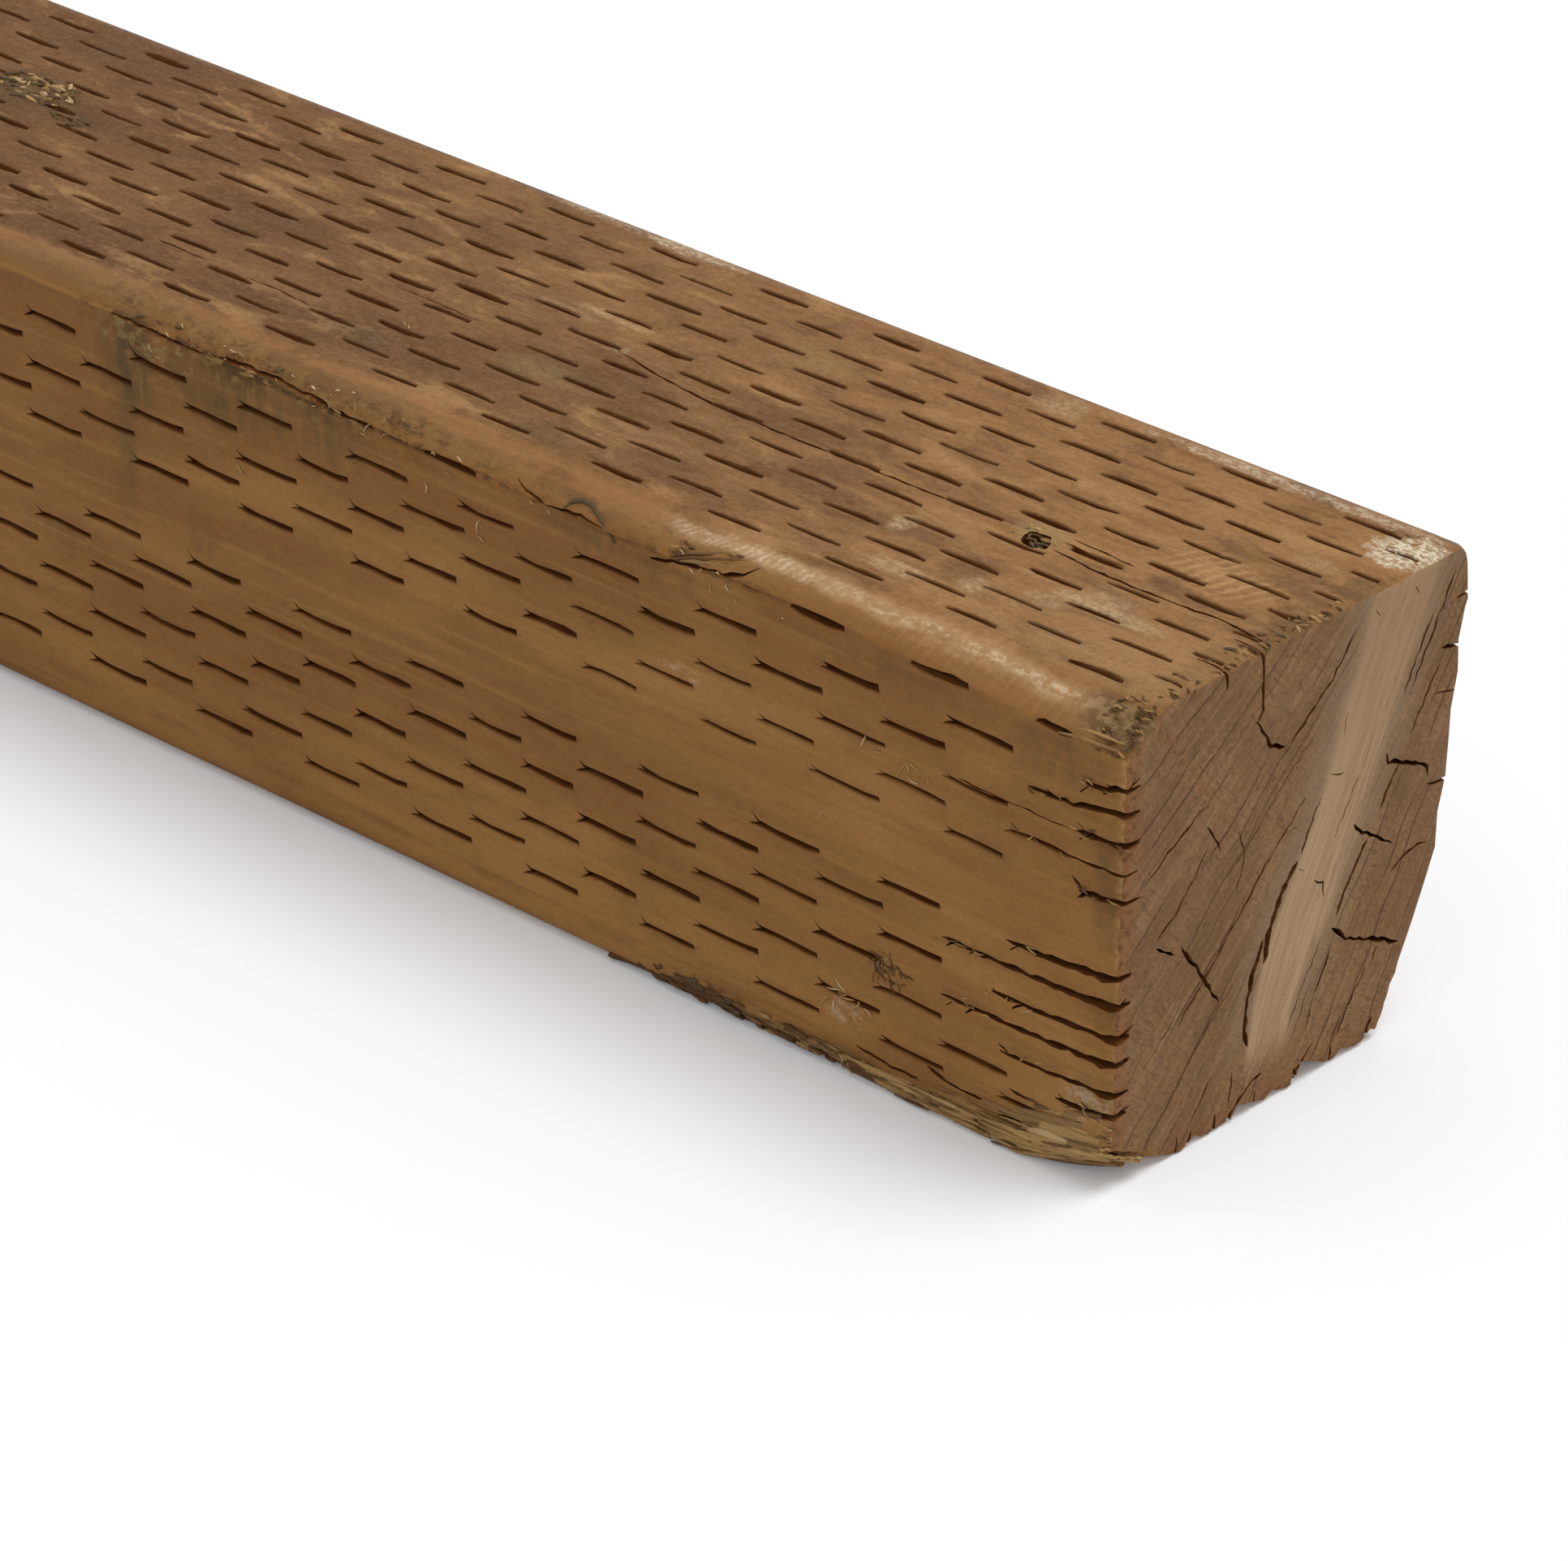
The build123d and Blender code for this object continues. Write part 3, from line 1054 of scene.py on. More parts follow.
def sideTint(g, look, n, s, z, near):
    def spots(name):
        return patches(g, s, z, facePatches[name], n.ragged) * near

    # paler lower down and darker towards the top: painted light making up for the dimmer foot of the near
    # face, and painted shade under the wane's rounded edge; also random blotches, and darker further from the
    # end
    paleAndPaintedLight = n.blotch + (38 - z) * 0.0022 - g.step(s, 80, 320) * 0.14
    drips = (g.step(n.drip, 0.34, 0.62) * 0.6 + 0.25) * (n.flaky * 0.5 + 0.6)
    crust = spots("nearCrust")
    return g.coats(
        look["sideDark"],
        look,
        ("sideMid", g.step(paleAndPaintedLight, 0.3, 0.7)),
        ("sideOlive", g.step(n.mottle + (n.speck - 0.5) * 0.5, 0.48, 0.7) * 0.45),
        ("sideRed", g.step(n.streak, 0.5, 0.68) * 0.4),
        ("sideMid", g.step(n.streak, 0.47, 0.3) * 0.5),
        ("sideDark", g.step(n.speck + (n.mottle - 0.5) * 0.6, 0.54, 0.72) * 0.3),
        ("sideRed", g.step(n.mottle, 0.46, 0.3) * g.step(n.blotch, 0.6, 0.4) * 0.45),
        ("stain", spots("nearStain") * drips),
        ("bark", crust * g.step(n.speck, 0.5, 0.6) * 0.75),
        ("lichen", crust * g.step(n.speck, 0.47, 0.38) * 0.6),
        ("chalk", spots("nearChalk") * n.flaky),
    )


def waneTint(g, look, n, s, y, above, shine):
    lift = y + (n.mottle - 0.5) * 8.0
    warm = g.step(lift, 2.5, 7.0) * g.curve(s, waneWarm) * (g.step(n.streak, 0.36, 0.6) * 0.6 + 0.4)
    # a painted highlight: a broad pale band along the wane's crest
    crestHighlight = g.step(lift, 3.2, 5.2) * g.step(lift, 9.5, 6.5) * g.step(s, 8, 20) * g.step(s, 120, 76)
    wave = ((s + y * 0.3) * 2.7 + (n.speck - 0.5) * 7.0).calc("SINE")
    hairs = g.step(wave, 0.55, 1.0) * g.step(s, 72, 50)
    dirt = g.step(n.mottle + (n.speck - 0.5) * 0.3, 0.5, 0.62) * g.step(s, 90, 120)
    barky = g.curve(s, waneBark) * g.step(above + (n.mottle - 0.5) * 5.0, 3.6, 1.0)
    color = g.coats(
        look["waneOlive"],
        look,
        ("waneTan", g.step(s, 190, 120)),
        ("waneOrange", warm),
        ("topRed", g.step(n.mottle, 0.5, 0.66) * g.step(s, 70, 110) * 0.5),
        # painted highlight band on the crest, and real lighter hairlines
        ("wanePaleAndHighlight", (crestHighlight * 0.48 + hairs * 0.14).clamp()),
        ("stain", dirt * 0.3),
        # painted highlight glints along the crest
        ("wanePaintedHighlight", shine),
        ("lichen", g.step(n.speck, 0.47, 0.36) * barky * 0.6),
        ("bark", g.step(n.speck, 0.51, 0.6) * barky * 0.9),
    )
    moss = g.coats(look["mossDark"], look, ("moss", g.step(n.speck, 0.42, 0.6)))
    return g.mix(g.step(s + (n.mottle - 0.5) * 12.0, 17, 9) * 0.85, color, moss)


def waneShine(g, n, s, y):  # ripples across the wane, and painted highlight glints along its crest, where it is also made glossier
    ripple = ((s + y * 0.55) * 3.7 + (n.speck - 0.5) * 9.0 + (n.mottle - 0.5) * 30.0).calc("SINE")
    crown = y + (n.mottle - 0.5) * 3.0
    crest = g.step(crown, 3.2, 5.2) * g.step(crown, 8.2, 6.0) * g.step(s, 48, 74) * g.step(s, 109, 97)
    edge = g.step(abs(crown - 5.6), 1.5, 0.3) * g.step(s, 8, 16) * g.step(s, 80, 56)
    edge = edge * g.step(n.speck, 0.42, 0.62)
    glint = g.step(n.blotch + (n.speck - 0.5) * 0.9, 0.38, 0.62)
    shine = crest * (g.step(ripple, -0.4, 1.0) * 0.45 * glint + 0.1 + glint * 0.12)
    return ripple, shine.most(edge * 0.5)


def tornFoot(g, n, s, y, z):  # where the foot of the near face is torn to straw
    low = z.most(y * postForm["tornSlope"]) - g.curve(s, postForm["tornRise"]) + (n.grain - 0.5) * 8.0
    run = g.step(s + (n.blotch - 0.5) * 60.0, postForm["tornRun"], 80)
    return g.step(low, -1.5, -5.0) * run * g.step(y, 24, 18)


def makeFaceWood(look):
    g = Graph(bpy.data.materials.new("treated_wood"))
    s, y, z = g.coords()
    n = WoodNoise(g, s, y, z)
    up = g.step(z, side - 1.8, side - 0.9)
    near = g.step(y, 3.0, 1.6) * (1 - up)
    lines = g.step(abs(n.streak - 0.5), 0.025, 0.0) * 0.1 * up
    # painted shade darkening round each slit, also a shallow dip in the bump
    pressShade = slitPressShade(g, s, y, slitRows["top"]) * up + slitPressShade(g, s, z, slitRows["near"]) * near
    # paler along the near face's edge with the weathered end: partly wear, partly a painted highlight on the
    # rounded edge
    endWear = g.step(s + (n.speck - 0.5) * 5.0, 3.0, 0.8) * near * g.step(n.speck, 0.35, 0.55)
    color = g.mix(up, sideTint(g, look, n, s, z, near), topTint(g, look, n, s, y))
    color = g.coats(color, look, ("line", (lines + pressShade * 0.2).clamp()), ("wear", endWear * 0.6))

    above = z - (side - postForm["skin"] - g.curve(s, postForm["waneDepths"]))  # over the wane's lip
    ripple, shine = waneShine(g, n, s, y)
    wane = g.step(above, -0.5, 2.4) * g.step(y + (n.mottle - 0.5) * 7.0, 10.5, 6.5) * g.step(s, 640, 420)
    color = g.mix(wane * 0.92, color, waneTint(g, look, n, s, y, above, shine))
    ledge = g.step(abs(above + 0.2), 1.1, 0.1) * g.step(n.speck, 0.42, 0.56) * g.step(s, 420, 300)
    color = g.coats(color, look, ("bark", ledge * g.curve(s, waneBark)))

    torn = tornFoot(g, n, s, y, z)
    straw = g.coats(look["line"], look, ("straw", g.step(n.grain, 0.38, 0.6)))
    color = g.mix(torn * 0.55, color, straw)
    shade = (n.grain - 0.5) * 0.26 + (n.fine - 0.5) * (up * 0.2 + 0.4) + (n.speck - 0.5) * 0.2 + 1.0
    color = g.mix(1.0, color, g.vector(shade, shade, shade), "MULTIPLY")
    roughness = look["roughness"] - wane * 0.14 - shine * 0.2 + torn * 0.2
    height = n.grain * 0.2 + n.fine * 0.3 + n.speck * 0.5 + n.mottle * 0.4 - pressShade * 0.5
    height = height + ripple * wane * g.step(s, 125, 95) * 0.06
    return g.surface(look, color, roughness, g.bump(height, 0.4, 0.5))


# end grain: fanned ring lines at the weathered end, with a pale spike knot running up through them
endFinish = {
    "deep": tint(96, 67, 42),
    "mid": tint(124, 91, 59),
    "pale": tint(140, 105, 71),
    "band": tint(171, 140, 107),
    "bandLine": tint(146, 115, 84),
    "grey": tint(142, 118, 93),
    "rim": tint(138, 91, 54),
    "line": tint(76, 46, 24),
    "roughness": 0.82,
    "specular": 0.18,
    "fan": (150, 170),  # where the lines of the weathered end run together, as y and z
    "fanLines": 45.0,
    "pith": (-90.7, 80.0),  # middle of the year rings at the other end
    "bandLeft": ((0, 33), (16, 35), (28.5, 38), (35.8, 41), (44.8, 45.6), (57, 51.4), (70, 55.4), (89, 62)),
    "bandRight": ((0, 45), (16, 49), (30, 56), (43.5, 62), (57, 68), (71, 74), (89, 82)),
    "tear": ((0, 89), (6, 86.5), (12, 80.5), (18, 72), (22, 65.5), (26, 56)),
}


def endLines(g, look, y, z, wobble, patch, weathered):  # ring lines and checks, and the fine field between
    awayY, awayZ = look["fan"][0] - y, look["fan"][1] - z
    fan = g.math("ARCTAN2", awayZ, awayY) + (wobble - 0.5) * 0.014
    reach = g.math("SQRT", awayY * awayY + awayZ * awayZ)
    fine = g.noise((fan * 90.0, reach * 0.02, 0.0), 3.0, 0.65)
    turn = fan * look["fanLines"] + (g.noise((fan * 18.0, 0.0, 5.0), 1.0, 0.5) - 0.5) * 1.4
    line = turn.calc("ROUND")
    away = abs(turn - line) * reach * (1 / look["fanLines"])  # mm from the nearest line
    broken = g.noise((line * 7.3, reach * 0.035, 2.0), 1.0, 0.5)
    fanned = g.step(away, 0.3, 0.06) * (g.step(broken, 0.4, 0.58) * 0.8 + 0.08)
    check = g.noise((reach * 0.42, fan * 9.0, 7.0), 2.0, 0.6)
    checks = g.step(abs(check - 0.5), 0.022, 0.0) * g.step(patch, 0.4, 0.56) * 0.4
    fanned = (g.step(abs(fine - 0.5), 0.03, 0.0) * 0.16).most(fanned).most(checks)
    pithY, pithZ = y - look["pith"][0], z - look["pith"][1]
    years = g.math("SQRT", pithY * pithY + pithZ * pithZ) * 0.3 + wobble * 1.4
    rings = g.step(years.calc("FRACT"), 0.55, 0.95) * 0.55
    return fanned * weathered + rings * (1 - weathered), fine


def spikeKnot(g, look, y, z, stray, fine):  # the pale band: where it is, its grey edges, its colour and grain
    leftEdge, rightEdge = g.curve(z, look["bandLeft"]), g.curve(z, look["bandRight"])
    fromLeft, fromRight = y - leftEdge + stray, rightEdge - y + stray
    greyed = g.step(fromLeft, -9.0, -1.0) * g.step(fromRight, -8.0, -1.0) * g.step(z, 8, 20)
    soft = g.step(z, 30, 70) * 2.4
    band = ((fromLeft + soft * 0.4) / (soft + 1.6)).clamp()
    band = band * g.step(fromRight + (fine - 0.5) * 5.0, -2.0, 3.4) * g.step(z, 5, 15)
    across = (y - leftEdge) / (rightEdge - leftEdge)
    grain = g.noise((across * 13.0, z * 0.025, 2.0), 3.0, 0.6)
    color = g.coats(
        look["band"],
        look,
        ("bandLine", g.step(grain, 0.4, 0.66) * 0.6),
        ("deep", g.step(abs(grain - 0.5), 0.02, 0.0) * g.step(across, 0.3, 0.7) * 0.55),
        ("grey", g.step(across + (grain - 0.5), 0.8, 1.0) * 0.4),
        ("bandLine", g.step(z, 46, 76) * 0.5),
    )
    return band, greyed, color, grain


def makeEndGrain(look):
    g = Graph(bpy.data.materials.new("end_grain"))
    s, y, z = g.coords()
    weathered = g.step(s, 400, 300)
    wobble = g.noise((y * 0.09, z * 0.09, 3.0), 2.0, 0.5)
    fuzz = g.noise((y * 1.1, z * 1.1, 9.0), 4.0, 0.7)
    patch = g.noise((y * 0.06, z * 0.06, 1.0), 3.0, 0.5)
    crumb = g.noise((y * 0.36, z * 0.36, 6.0), 4.0, 0.72, 0.4)
    lines, fine = endLines(g, look, y, z, wobble, patch, weathered)
    band, greyed, bandColor, bandGrain = spikeKnot(g, look, y, z, (wobble - 0.5) * 2.5, fine)
    band = band * weathered
    color = g.coats(
        look["mid"],
        look,
        ("pale", (g.step(patch, 0.35, 0.65) + g.step(z, 36, 4) * 0.5).clamp()),
        ("deep", g.step(fuzz, 0.44, 0.66) * 0.48),
        ("band", g.step(fuzz, 0.44, 0.3) * 0.28),
        ("deep", g.step(fine, 0.45, 0.65) * weathered * 0.35),
        ("band", g.step(fine, 0.45, 0.3) * weathered * 0.2),
        ("deep", g.step(crumb, 0.52, 0.68) * 0.4),
        ("grey", g.step(crumb, 0.45, 0.3) * 0.3),
        ("line", lines * g.step(fuzz, 0.15, 0.5)),
        ("grey", greyed * (g.step(fine, 0.35, 0.6) * 0.4 + 0.2) * weathered),
    )
    frayed = (fuzz - 0.5) * 7.0
    rim = g.step(y + frayed, 6.0, 1.0).most(g.step(z + frayed, 6.0, 1.0) * 0.6)
    torn = g.step(abs(z - g.curve(y, look["tear"])), 3.2, 0.4) * g.step(y, 27, 22) * g.step(fuzz, 0.4, 0.56)
    flecks = g.step(g.noise((y * 0.5, z * 0.7, 4.0), 3.0, 0.7), 0.5, 0.6)
    color = g.coats(
        g.mix(band, color, bandColor),
        look,
        ("rim", rim.most(torn * 0.7) * 0.75 * weathered),
        ("line", flecks * g.step(rim.most(torn), 0.2, 0.6) * 0.55 * weathered),
    )
    height = fuzz * (0.8 - band * 0.5) + crumb * (1 - band) * 1.2 - lines * 0.5 + bandGrain * band * 0.4
    return g.surface(look, color, look["roughness"], g.bump(height, 0.55, 0.7))


# walls of the slits, cracks and knot hollows
slitFinish = {
    "deep": tint(90, 51, 18),
    "rim": tint(122, 77, 38),
    "roughness": 0.9,
    "specular": 0.1,
}


def makeSlitWall(look):
    g = Graph(bpy.data.materials.new("slit_wall"))
    s, y, z = g.coords()
    fibre = g.noise((s * 0.12, y * 1.4, z * 1.4), 3.0, 0.6)
    color = g.coats(look["deep"], look, ("rim", g.step(fibre, 0.35, 0.75)))
    return g.surface(look, color, look["roughness"], g.bump(fibre, 0.4, 0.4))


# torn fibres, splinters and whiskers: straw to brown by a tone kept on each strand
fibreFinish = {
    "dark": tint(92, 62, 34),
    "straw": tint(178, 142, 90),
    "pale": tint(222, 202, 168),
    "grey": tint(94, 78, 52),
    "roughness": 0.8,
    "specular": 0.2,
}


def makeFibre(look):
    g = Graph(bpy.data.materials.new("torn_fibre"))
    s, y, z = g.coords()
    tone = g.add("ShaderNodeAttribute", {"attribute_name": "tone"}, out="Fac")
    fine = g.noise((s * 0.1, y * 2.2, z * 2.2), 3.0, 0.6)
    color = g.coats(
        look["dark"],
        look,
        ("straw", g.step(tone, 0.0, 0.6)),
        ("pale", g.step(tone, 0.6, 1.0)),
        ("grey", g.step(tone, 0.0, -0.8)),
        ("dark", g.step(fine, 0.5, 0.75) * 0.55),
    )
    return g.surface(look, color, look["roughness"], g.bump(fine, 0.5, 0.4))


faceWood = makeFaceWood(faceFinish)
endGrain = makeEndGrain(endFinish)
slitWall = makeSlitWall(slitFinish)
fibreWood = makeFibre(fibreFinish)
woodMaterials = (faceWood, endGrain, slitWall)
print("materials made")

slits = slitParts(slitPress)
print("slits laid out,", len(slits))
cracks = apartGroups(crackParts(crackPlan) + hollowParts())
print("cracks in", len(cracks), "groups")
post = cutAway(postMesh, [joinParts("slits", slits)] + [joinParts("cracks", group) for group in cracks])
post.data.shade_smooth()
post.data.set_sharp_from_angle(angle=math.radians(40))
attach(post, "root")
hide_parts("post")
print("post cut,", sum(len(p.vertices) - 2 for p in post.data.polygons), "triangles")


# loose wood: every strand is a thin tapering tube, bent a little, with its own tone
strandLevels = 6
strandTube = tubeAddress(4, strandLevels)


def ropePart(middles, width, thick, lift, tone, blunt=0.08):
    address, polys = strandTube
    last = strandLevels - 1
    verts = []
    for n, level in address:
        run = (middles[min(level + 1, last)] - middles[max(level - 1, 0)]).normalized()
        over = run.cross(lift).normalized()
        body = max(blunt, math.sin(math.pi * (0.12 + 0.85 * level / last)))
        turn = math.radians(90 * n + 45)
        edge = over * (math.cos(turn) * width) + lift * (math.sin(turn) * thick)
        verts.append((middles[level] + edge * (body / 2)) * mm)
    return verts, polys, tone


def strandPart(start, run, lift, length, width, thick, bend, curl, tone, blunt=0.08):
    over = run.cross(lift).normalized()
    middles = []
    for t in np.linspace(0, 1, strandLevels):
        bent = lift * (bend * t * t) + over * (curl * math.sin(2.4 * t))
        middles.append(start + run * (t * length) + bent)
    return ropePart(middles, width, thick, lift, tone, blunt)


def strandPiece(name, parts):  # a strand that stands out past the post's size moves in whole
    points, faces, tones = [], [], []
    margin = 0.02 * mm
    low, high = np.array(cadBox[0]) + margin, np.array(cadBox[1]) - margin
    for verts, polys, tone in parts:
        base = len(points)
        cloud = np.array([tuple(v) for v in verts])
        cloud += np.maximum(low - cloud.min(axis=0), 0)
        cloud -= np.maximum(cloud.max(axis=0) - high, 0)
        points += cloud.tolist()
        tones += [tone] * len(verts)
        faces += [tuple(base + i for i in poly) for poly in polys]
    mesh = meshFrom(name, points, faces)
    mesh.attributes.new("tone", "FLOAT", "POINT").data.foreach_set("value", tones)
    mesh.shade_smooth()
    piece = newObject(name, mesh, [fibreWood])
    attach(piece, "root")
    print(name, "made,", len(parts), "strands")


# torn straw at the foot of the near face, crumbs along its lower edge and feathered ends of the end splits
footFibres = {
    "seed": 71,
    "count": 640,
    "chunky": 0.19,  # share of thick strands
    "run": 108.0,
    "tones": (0.05, 0.15, 0.25, 0.32, 0.38, 0.44, 0.5, 0.6),
    "reach": ((0, 1.28), (16, 1.25), (30, 1.0), (62, 0.95), (110, 0.7)),  # how far round the foot, by s
    "crumbs": 150,
    "crumbRun": (58, 106),
    "barkFrom": 82.0,  # crumbs further back than this are bark
    "barkTones": (-0.9, -0.6, -0.3, 0.0, 0.1),
    "crumbTones": (-0.2, 0.1, 0.25, 0.4),
    "feathers": 5,
    "featherTones": (0.05, 0.2, 0.35, 0.5),
}


def footPoint(s, t):  # round the foot from the underside, t = 0, to the near face, t = 1, and on up it
    rise, footWidth, gone = footSize(s, postForm)
    part = min(t, 1.0)
    a = part * math.pi / 2
    y = footWidth * ((1 - math.sin(a)) * (1 - gone) + (1 - part) * gone)
    z = rise * ((1 - math.cos(a)) * (1 - gone) + part * gone) + max(0.0, t - 1) * 26
    return wood(s, y + postForm["skin"] * part, z), Vector((0, -math.sin(a), -math.cos(a)))


def footStrand(p, n, dice):
    chunky = n < p["count"] * p["chunky"]
    length = dice.uniform(7, 20) if chunky else dice.uniform(2.5, 10)
    s = max(p["run"] * dice.random() ** 1.7, length / 2 + (4.5 if chunky else 2.2))
    t = dice.uniform(0.0, between(s, p["reach"]))
    if s < 16:
        t = max(t, 0.45)
    drift, twist = dice.uniform(-0.025, 0.02), dice.uniform(-0.03, 0.03)
    swell = 1.7 * smooth(s, 4, 16) * smooth(s, 66, 48) * smooth(t, 1.15, 0.8)
    proud = dice.uniform(-0.8, -0.1) + swell * dice.random() ** 1.5
    loose = dice.uniform(-0.3, 0.8) if dice.random() < 0.25 else 0.0
    middles = []
    for k in np.linspace(-1, 1, strandLevels):
        spot, outward = footPoint(s + k * length / 2, max(0.0, t + k * drift + twist * rough(k * 2, n)))
        middles.append(spot + outward * (proud + loose * max(0.0, k) ** 2))
    width, thick = dice.uniform(0.35, 0.95), dice.uniform(0.35, 0.7)
    if chunky:
        width, thick = dice.uniform(1.2, 2.8), dice.uniform(0.7, 1.5)
    tone = dice.choice(p["tones"]) * (1 - 0.5 * smooth(s, 52, 74)) - 0.25 * smooth(s, 84, 92)
    tone += 0.12 * smooth(s, 60, 30)
    return ropePart(middles, width, thick, outward, tone, dice.uniform(0.2, 0.8))


def footCrumb(p, dice):
    s, t, length = dice.uniform(*p["crumbRun"]), dice.uniform(0.1, 1.0), dice.uniform(1.2, 4.0)
    proud, slant = dice.uniform(-0.4, 0.6), dice.uniform(-0.06, 0.06)
    middles = []
    for k in np.linspace(-1, 1, strandLevels):
        spot, outward = footPoint(s + k * length / 2, min(1.05, max(0.0, t + k * slant)))
        middles.append(spot + outward * proud)
    width = dice.uniform(0.7, 1.6)
    tone = dice.choice(p["barkTones"] if s > p["barkFrom"] else p["crumbTones"])
    return ropePart(middles, width, width * 0.7, outward, tone, 0.6)


def splitFeather(p, inner, run, dice):
    turn = dice.uniform(-0.5, 0.5)
    start = wood(run + dice.uniform(-9, 2), dice.uniform(0.35, 0.75), inner + dice.uniform(-0.9, 0.9))
    along = Vector((dice.choice((-1, 1)) * math.cos(turn), 0, math.sin(turn)))
    length, width = dice.uniform(1.0, 2.8), dice.uniform(0.25, 0.5)
    bend, curl = dice.uniform(-0.3, 0.1), dice.uniform(-0.7, 0.7)
    tone = dice.choice(p["featherTones"])
    return strandPart(start, along, Vector((0, -1, 0)), length, width, 0.3, bend, curl, tone)


def makeFootFibres(p):
    dice = random.Random(p["seed"])
    parts = [footStrand(p, n, dice) for n in range(p["count"])]
    parts += [footCrumb(p, dice) for n in range(p["crumbs"])]
    for height, inner, run, wide in endSplits:
        parts += [splitFeather(p, inner, run, dice) for n in range(p["feathers"])]
    strandPiece("foot_fibres", parts)


# splinters: middle in s and y, half sizes, how many, how long, tones
splinterSeed = 15
splinterKnots = (
    (318, 55, 10, 5, 150, (1.4, 4.2), (-0.9, -0.7, -0.4, 0.1, 0.35, 0.5, 0.65, 0.75)),
    (301, 49, 6, 1.6, 26, (2, 5), (-0.9, -0.7, -0.5, 0.0, 0.1)),
    (53.6, 43, 4.0, 0.8, 7, (1.0, 2.6), (0.3, 0.5, 0.6, 0.68)),
    (57.6, 40, 1.2, 3.0, 7, (1.0, 2.2), (-0.3, 0.3, 0.5, 0.6)),
    (50, 36.6, 2.2, 1.4, 5, (1.0, 2.4), (-0.3, 0.3, 0.5, 0.6)),
    (3.0, 26, 2.6, 22, 90, (0.8, 2.4), (-0.8, -0.3, 0.0, 0.1, 0.15, 0.25, 0.35)),
    (2.6, 49, 2.4, 8, 36, (0.7, 2.2), (-0.4, 0.1, 0.3, 0.45, 0.55)),
    (4.5, 5, 4.5, 5, 70, (0.6, 1.8), (-0.5, -0.2, 0.0, 0.1, 0.2, 0.35, 0.45)),
    (53.4, 39.4, 2.4, 1.8, 14, (1.0, 2.6), (-1.0, -0.8, -0.6, -0.3)),
    (4.4, 79, 4, 6, 26, (0.5, 1.5), (-0.6, 0.1, 0.75, 0.85, 0.95)),
    (92, 2.6, 9, 2.0, 24, (0.8, 2.4), (-0.4, 0.0, 0.1, 0.2, 0.3, 0.45)),
    (196, 2.2, 38, 1.8, 90, (0.6, 2.0), (-1.0, -0.7, -0.3, 0.1, 0.3, 0.5, 0.7)),
    (180, 3.0, 9, 1.6, 22, (0.8, 2.2), (0.6, 0.75, 0.85, 0.95)),
    (51, 40.6, 3.6, 0.6, 6, (1.0, 2.4), (0.3, 0.5, 0.6)),
)


def makeKnotSplinters():
    dice = random.Random(splinterSeed)
    upwards = Vector((0, 0, 1))
    parts = []
    for middleS, middleY, halfS, halfY, count, lengths, tones in splinterKnots:
        for n in range(count):
            around, out = dice.uniform(0, 2 * math.pi), math.sqrt(dice.uniform(0.1, 1.0))
            s, y = middleS + halfS * out * math.cos(around), middleY + halfY * out * math.sin(around)
            turn = dice.gauss(0, 0.45)
            run = Vector((math.cos(turn), math.sin(turn), dice.uniform(-0.15, 0.15))).normalized()
            length = dice.uniform(*lengths)
            s = max(s, length / 2 + 0.8)
            start = wood(s, y, waneHeight(s, y) - dice.uniform(-0.15, 0.5)) - run * (length / 2)
            width = min(length * dice.uniform(0.24, 0.46), 1.4)
            thick = width * dice.uniform(0.6, 0.9)
            bend, curl = dice.uniform(-0.5, 0.1), dice.uniform(-0.3, 0.3)
            tone, blunt = dice.choice(tones), dice.uniform(0.2, 0.8)
            parts.append(strandPart(start, run, upwards, length, width, thick, bend, curl, tone, blunt))
    strandPiece("knot_splinters", parts)


# whiskers: face, s, distance across, how many, spread, length
whiskerTufts = (
    ("near", 171, 84, 5, 5.0, 2.4), ("near", 151, 83.4, 3, 5.0, 1.4), ("near", 158, 76, 1, 1.0, 2.5),
    ("near", 146, 72.5, 2, 1.5, 2.4), ("near", 45, 62, 5, 5.0, 3.4), ("near", 56, 63, 2, 2.0, 3.0),
    ("near", 66, 47, 1, 1.5, 1.8), ("near", 204, 64, 2, 1.6, 3.0), ("near", 60, 14.5, 10, 4.0, 3.2),
    ("near", 92, 83.7, 7, 8.0, 1.1), ("near", 228, 80, 2, 4.0, 2.0), ("near", 74, 80, 2, 3.0, 1.4),
    ("top", 191, 28, 2, 1.5, 2.0), ("top", 7, 80, 9, 6.0, 2.0), ("near", 62, 3, 5, 2.0, 3.0),
    ("near", 130, 83, 2, 2.0, 1.2),
)
barkTufts = (("near", 51, 24, 22, 3.0, 3.2), ("near", 48.6, 21.6, 6, 1.6, 2.0))
whiskerForm = {"seed": 305, "paleTones": (0.55, 0.85), "barkTones": (-0.1, 0.24), "depth": 0.4}
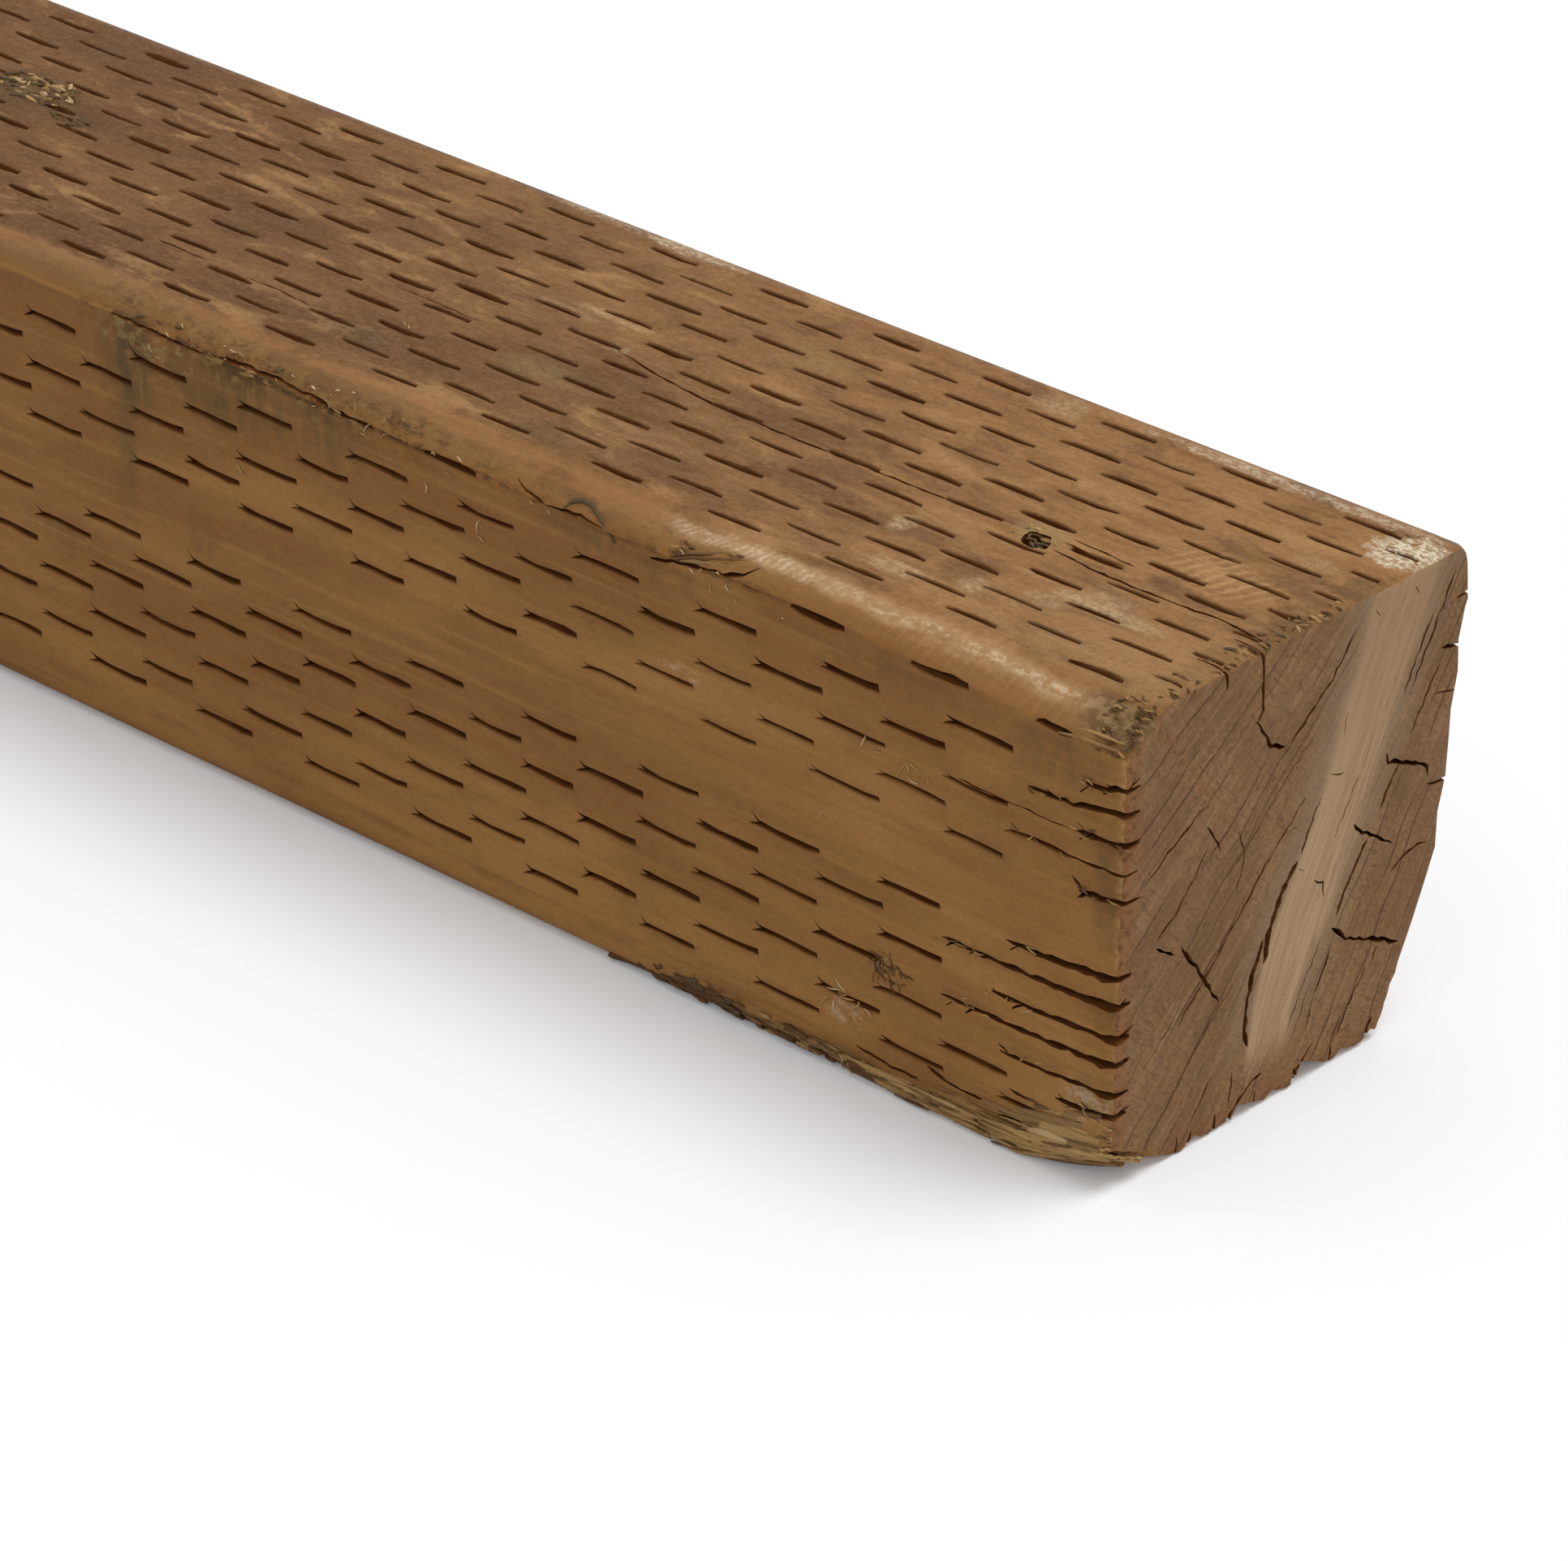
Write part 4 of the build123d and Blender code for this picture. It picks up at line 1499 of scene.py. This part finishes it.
# old branch stub and bark folds in the wane: width, tone and the middle line, as s, y and z
barkRopes = (
    (
        1.1, -0.9, (125.4, 1.0, 84.1), (124.7, 2.2, 85.3), (123, 3.0, 85.8), (120.6, 2.9, 85.7),
        (117.4, 1.6, 84.6), (113, 0.3, 82),
    ),
    (
        1.0, 0.2, (100, 0.8, 84.1), (97, 1.8, 85.1), (94, 2.6, 85.7), (91, 3.5, 86.3), (88, 4.2, 86.8),
        (84, 4.8, 87.1),
    ),
    (
        1.1, 0.1, (99, 0.7, 83.9), (96, 1.3, 84.7), (93, 1.9, 85.2), (90, 2.7, 85.8), (87, 3.5, 86.4),
        (84.4, 4.2, 86.8),
    ),
    (
        1.0, 0.28, (98, 0.6, 83.7), (95.5, 0.9, 84.4), (92.5, 1.3, 84.8), (89.5, 1.8, 85.2), (87, 2.5, 85.7),
        (84.6, 3.5, 86.4),
    ),
    (
        0.9, 0.3, (15, 0.7, 81.6), (12, 0.9, 82), (9.5, 1.0, 82.2), (7, 1.0, 82.2), (4.5, 1.1, 82.3),
        (2.5, 1.2, 82.4),
    ),
    (
        0.8, 0.45, (12, 1.6, 83), (10, 1.9, 83.3), (8, 2.0, 83.4), (6, 2.0, 83.4), (4, 2.1, 83.4),
        (2.4, 2.1, 83.3),
    ),
)


def makeWhiskers(p):
    dice = random.Random(p["seed"])
    parts = []
    for width, tone, *line in barkRopes:
        middles = [wood(*point) for point in line]
        parts.append(ropePart(middles, width, width * 0.8, Vector((0, -0.9, 0.44)), tone, 0.4))
    tufts = [(row, p["paleTones"]) for row in whiskerTufts] + [(row, p["barkTones"]) for row in barkTufts]
    for (face, s, across, count, spread, longest), tones in tufts:
        for n in range(count):
            u, v = s + dice.uniform(-spread, spread), across + dice.uniform(-spread, spread) * 0.5
            turn = dice.uniform(0, 2 * math.pi)
            if face == "top":
                start, lift = wood(u, v, side - p["depth"]), Vector((0, 0, 1))
                run = Vector((math.cos(turn), math.sin(turn), 0))
            else:
                start, lift = wood(u, p["depth"], v), Vector((0, -1, 0))
                run = Vector((math.cos(turn), 0, math.sin(turn)))
            thick = dice.uniform(0.18, 0.36)
            length = longest * dice.uniform(0.5, 1.2)
            bend, curl, tone = dice.uniform(-0.1, 0.2), dice.uniform(-0.9, 0.9), dice.uniform(*tones)
            parts.append(strandPart(start, run, lift, length, thick, thick, bend, curl, tone))
    strandPiece("whiskers", parts)


makeFootFibres(footFibres)
makeKnotSplinters()
makeWhiskers(whiskerForm)


# plain floor and soft studio light
studio = {
    "floorSize": 30.0,
    "floorWhite": (0.885, 0.905, 0.93, 1),
    "floorLift": 0.1,
    "worldLight": 0.62,
    "keyPower": 1.46,
    "keySpread": 30.0,
    "keyFrom": (0.7, 0.5, 2.3),
}


def seenDirectly(g):  # 1 for the camera and for what is mirrored or seen through glass
    path = g.add("ShaderNodeLightPath").socket.node.outputs
    rays = ("Is Camera Ray", "Is Glossy Ray", "Is Transmission Ray")
    camera, glossy, through = (Wire(g, path[name]) for name in rays)
    return camera.most(glossy).most(through)


def addFloor(p):
    g = Graph(bpy.data.materials.new("floor_white"))
    diffuse = g.add("ShaderNodeBsdfDiffuse", None, {"Color": p["floorWhite"]})
    glow = g.add("ShaderNodeEmission", None, {"Color": (1, 1, 1, 1), "Strength": p["floorLift"]})
    both = g.add("ShaderNodeAddShader", None, {0: diffuse, 1: glow})
    shown = g.add("ShaderNodeMixShader", None, {0: seenDirectly(g), 1: diffuse, 2: both})
    g.add("ShaderNodeOutputMaterial", None, {"Surface": shown})
    bm = bmesh.new()
    bmesh.ops.create_grid(bm, x_segments=1, y_segments=1, size=p["floorSize"] / 2)
    mesh = bpy.data.meshes.new("floor")
    bm.to_mesh(mesh)
    bm.free()
    floor = newObject("floor", mesh, [g.owner])


def addLight(p):
    data = bpy.data.lights.new("key", "SUN")
    data.energy = p["keyPower"]
    data.angle = math.radians(p["keySpread"])
    lamp = bpy.data.objects.new("key", data)
    bpy.context.scene.collection.objects.link(lamp)
    lamp.location = p["keyFrom"]
    lamp.rotation_mode = "QUATERNION"
    lamp.rotation_quaternion = (-Vector(p["keyFrom"])).to_track_quat("-Z", "Y")
    world = bpy.data.worlds.new("studio")
    bpy.context.scene.world = world
    g = Graph(world)
    light = g.add("ShaderNodeBackground", None, {"Color": (1, 1, 1, 1), "Strength": p["worldLight"]})
    white = g.add("ShaderNodeBackground", None, {"Color": (1, 1, 1, 1), "Strength": 1.0})
    shown = g.add("ShaderNodeMixShader", None, {0: seenDirectly(g), 1: light, 2: white})
    g.add("ShaderNodeOutputWorld", None, {"Surface": shown})


addFloor(studio)
addLight(studio)
bpy.context.scene.view_settings.view_transform = "Standard"
print("studio lit")
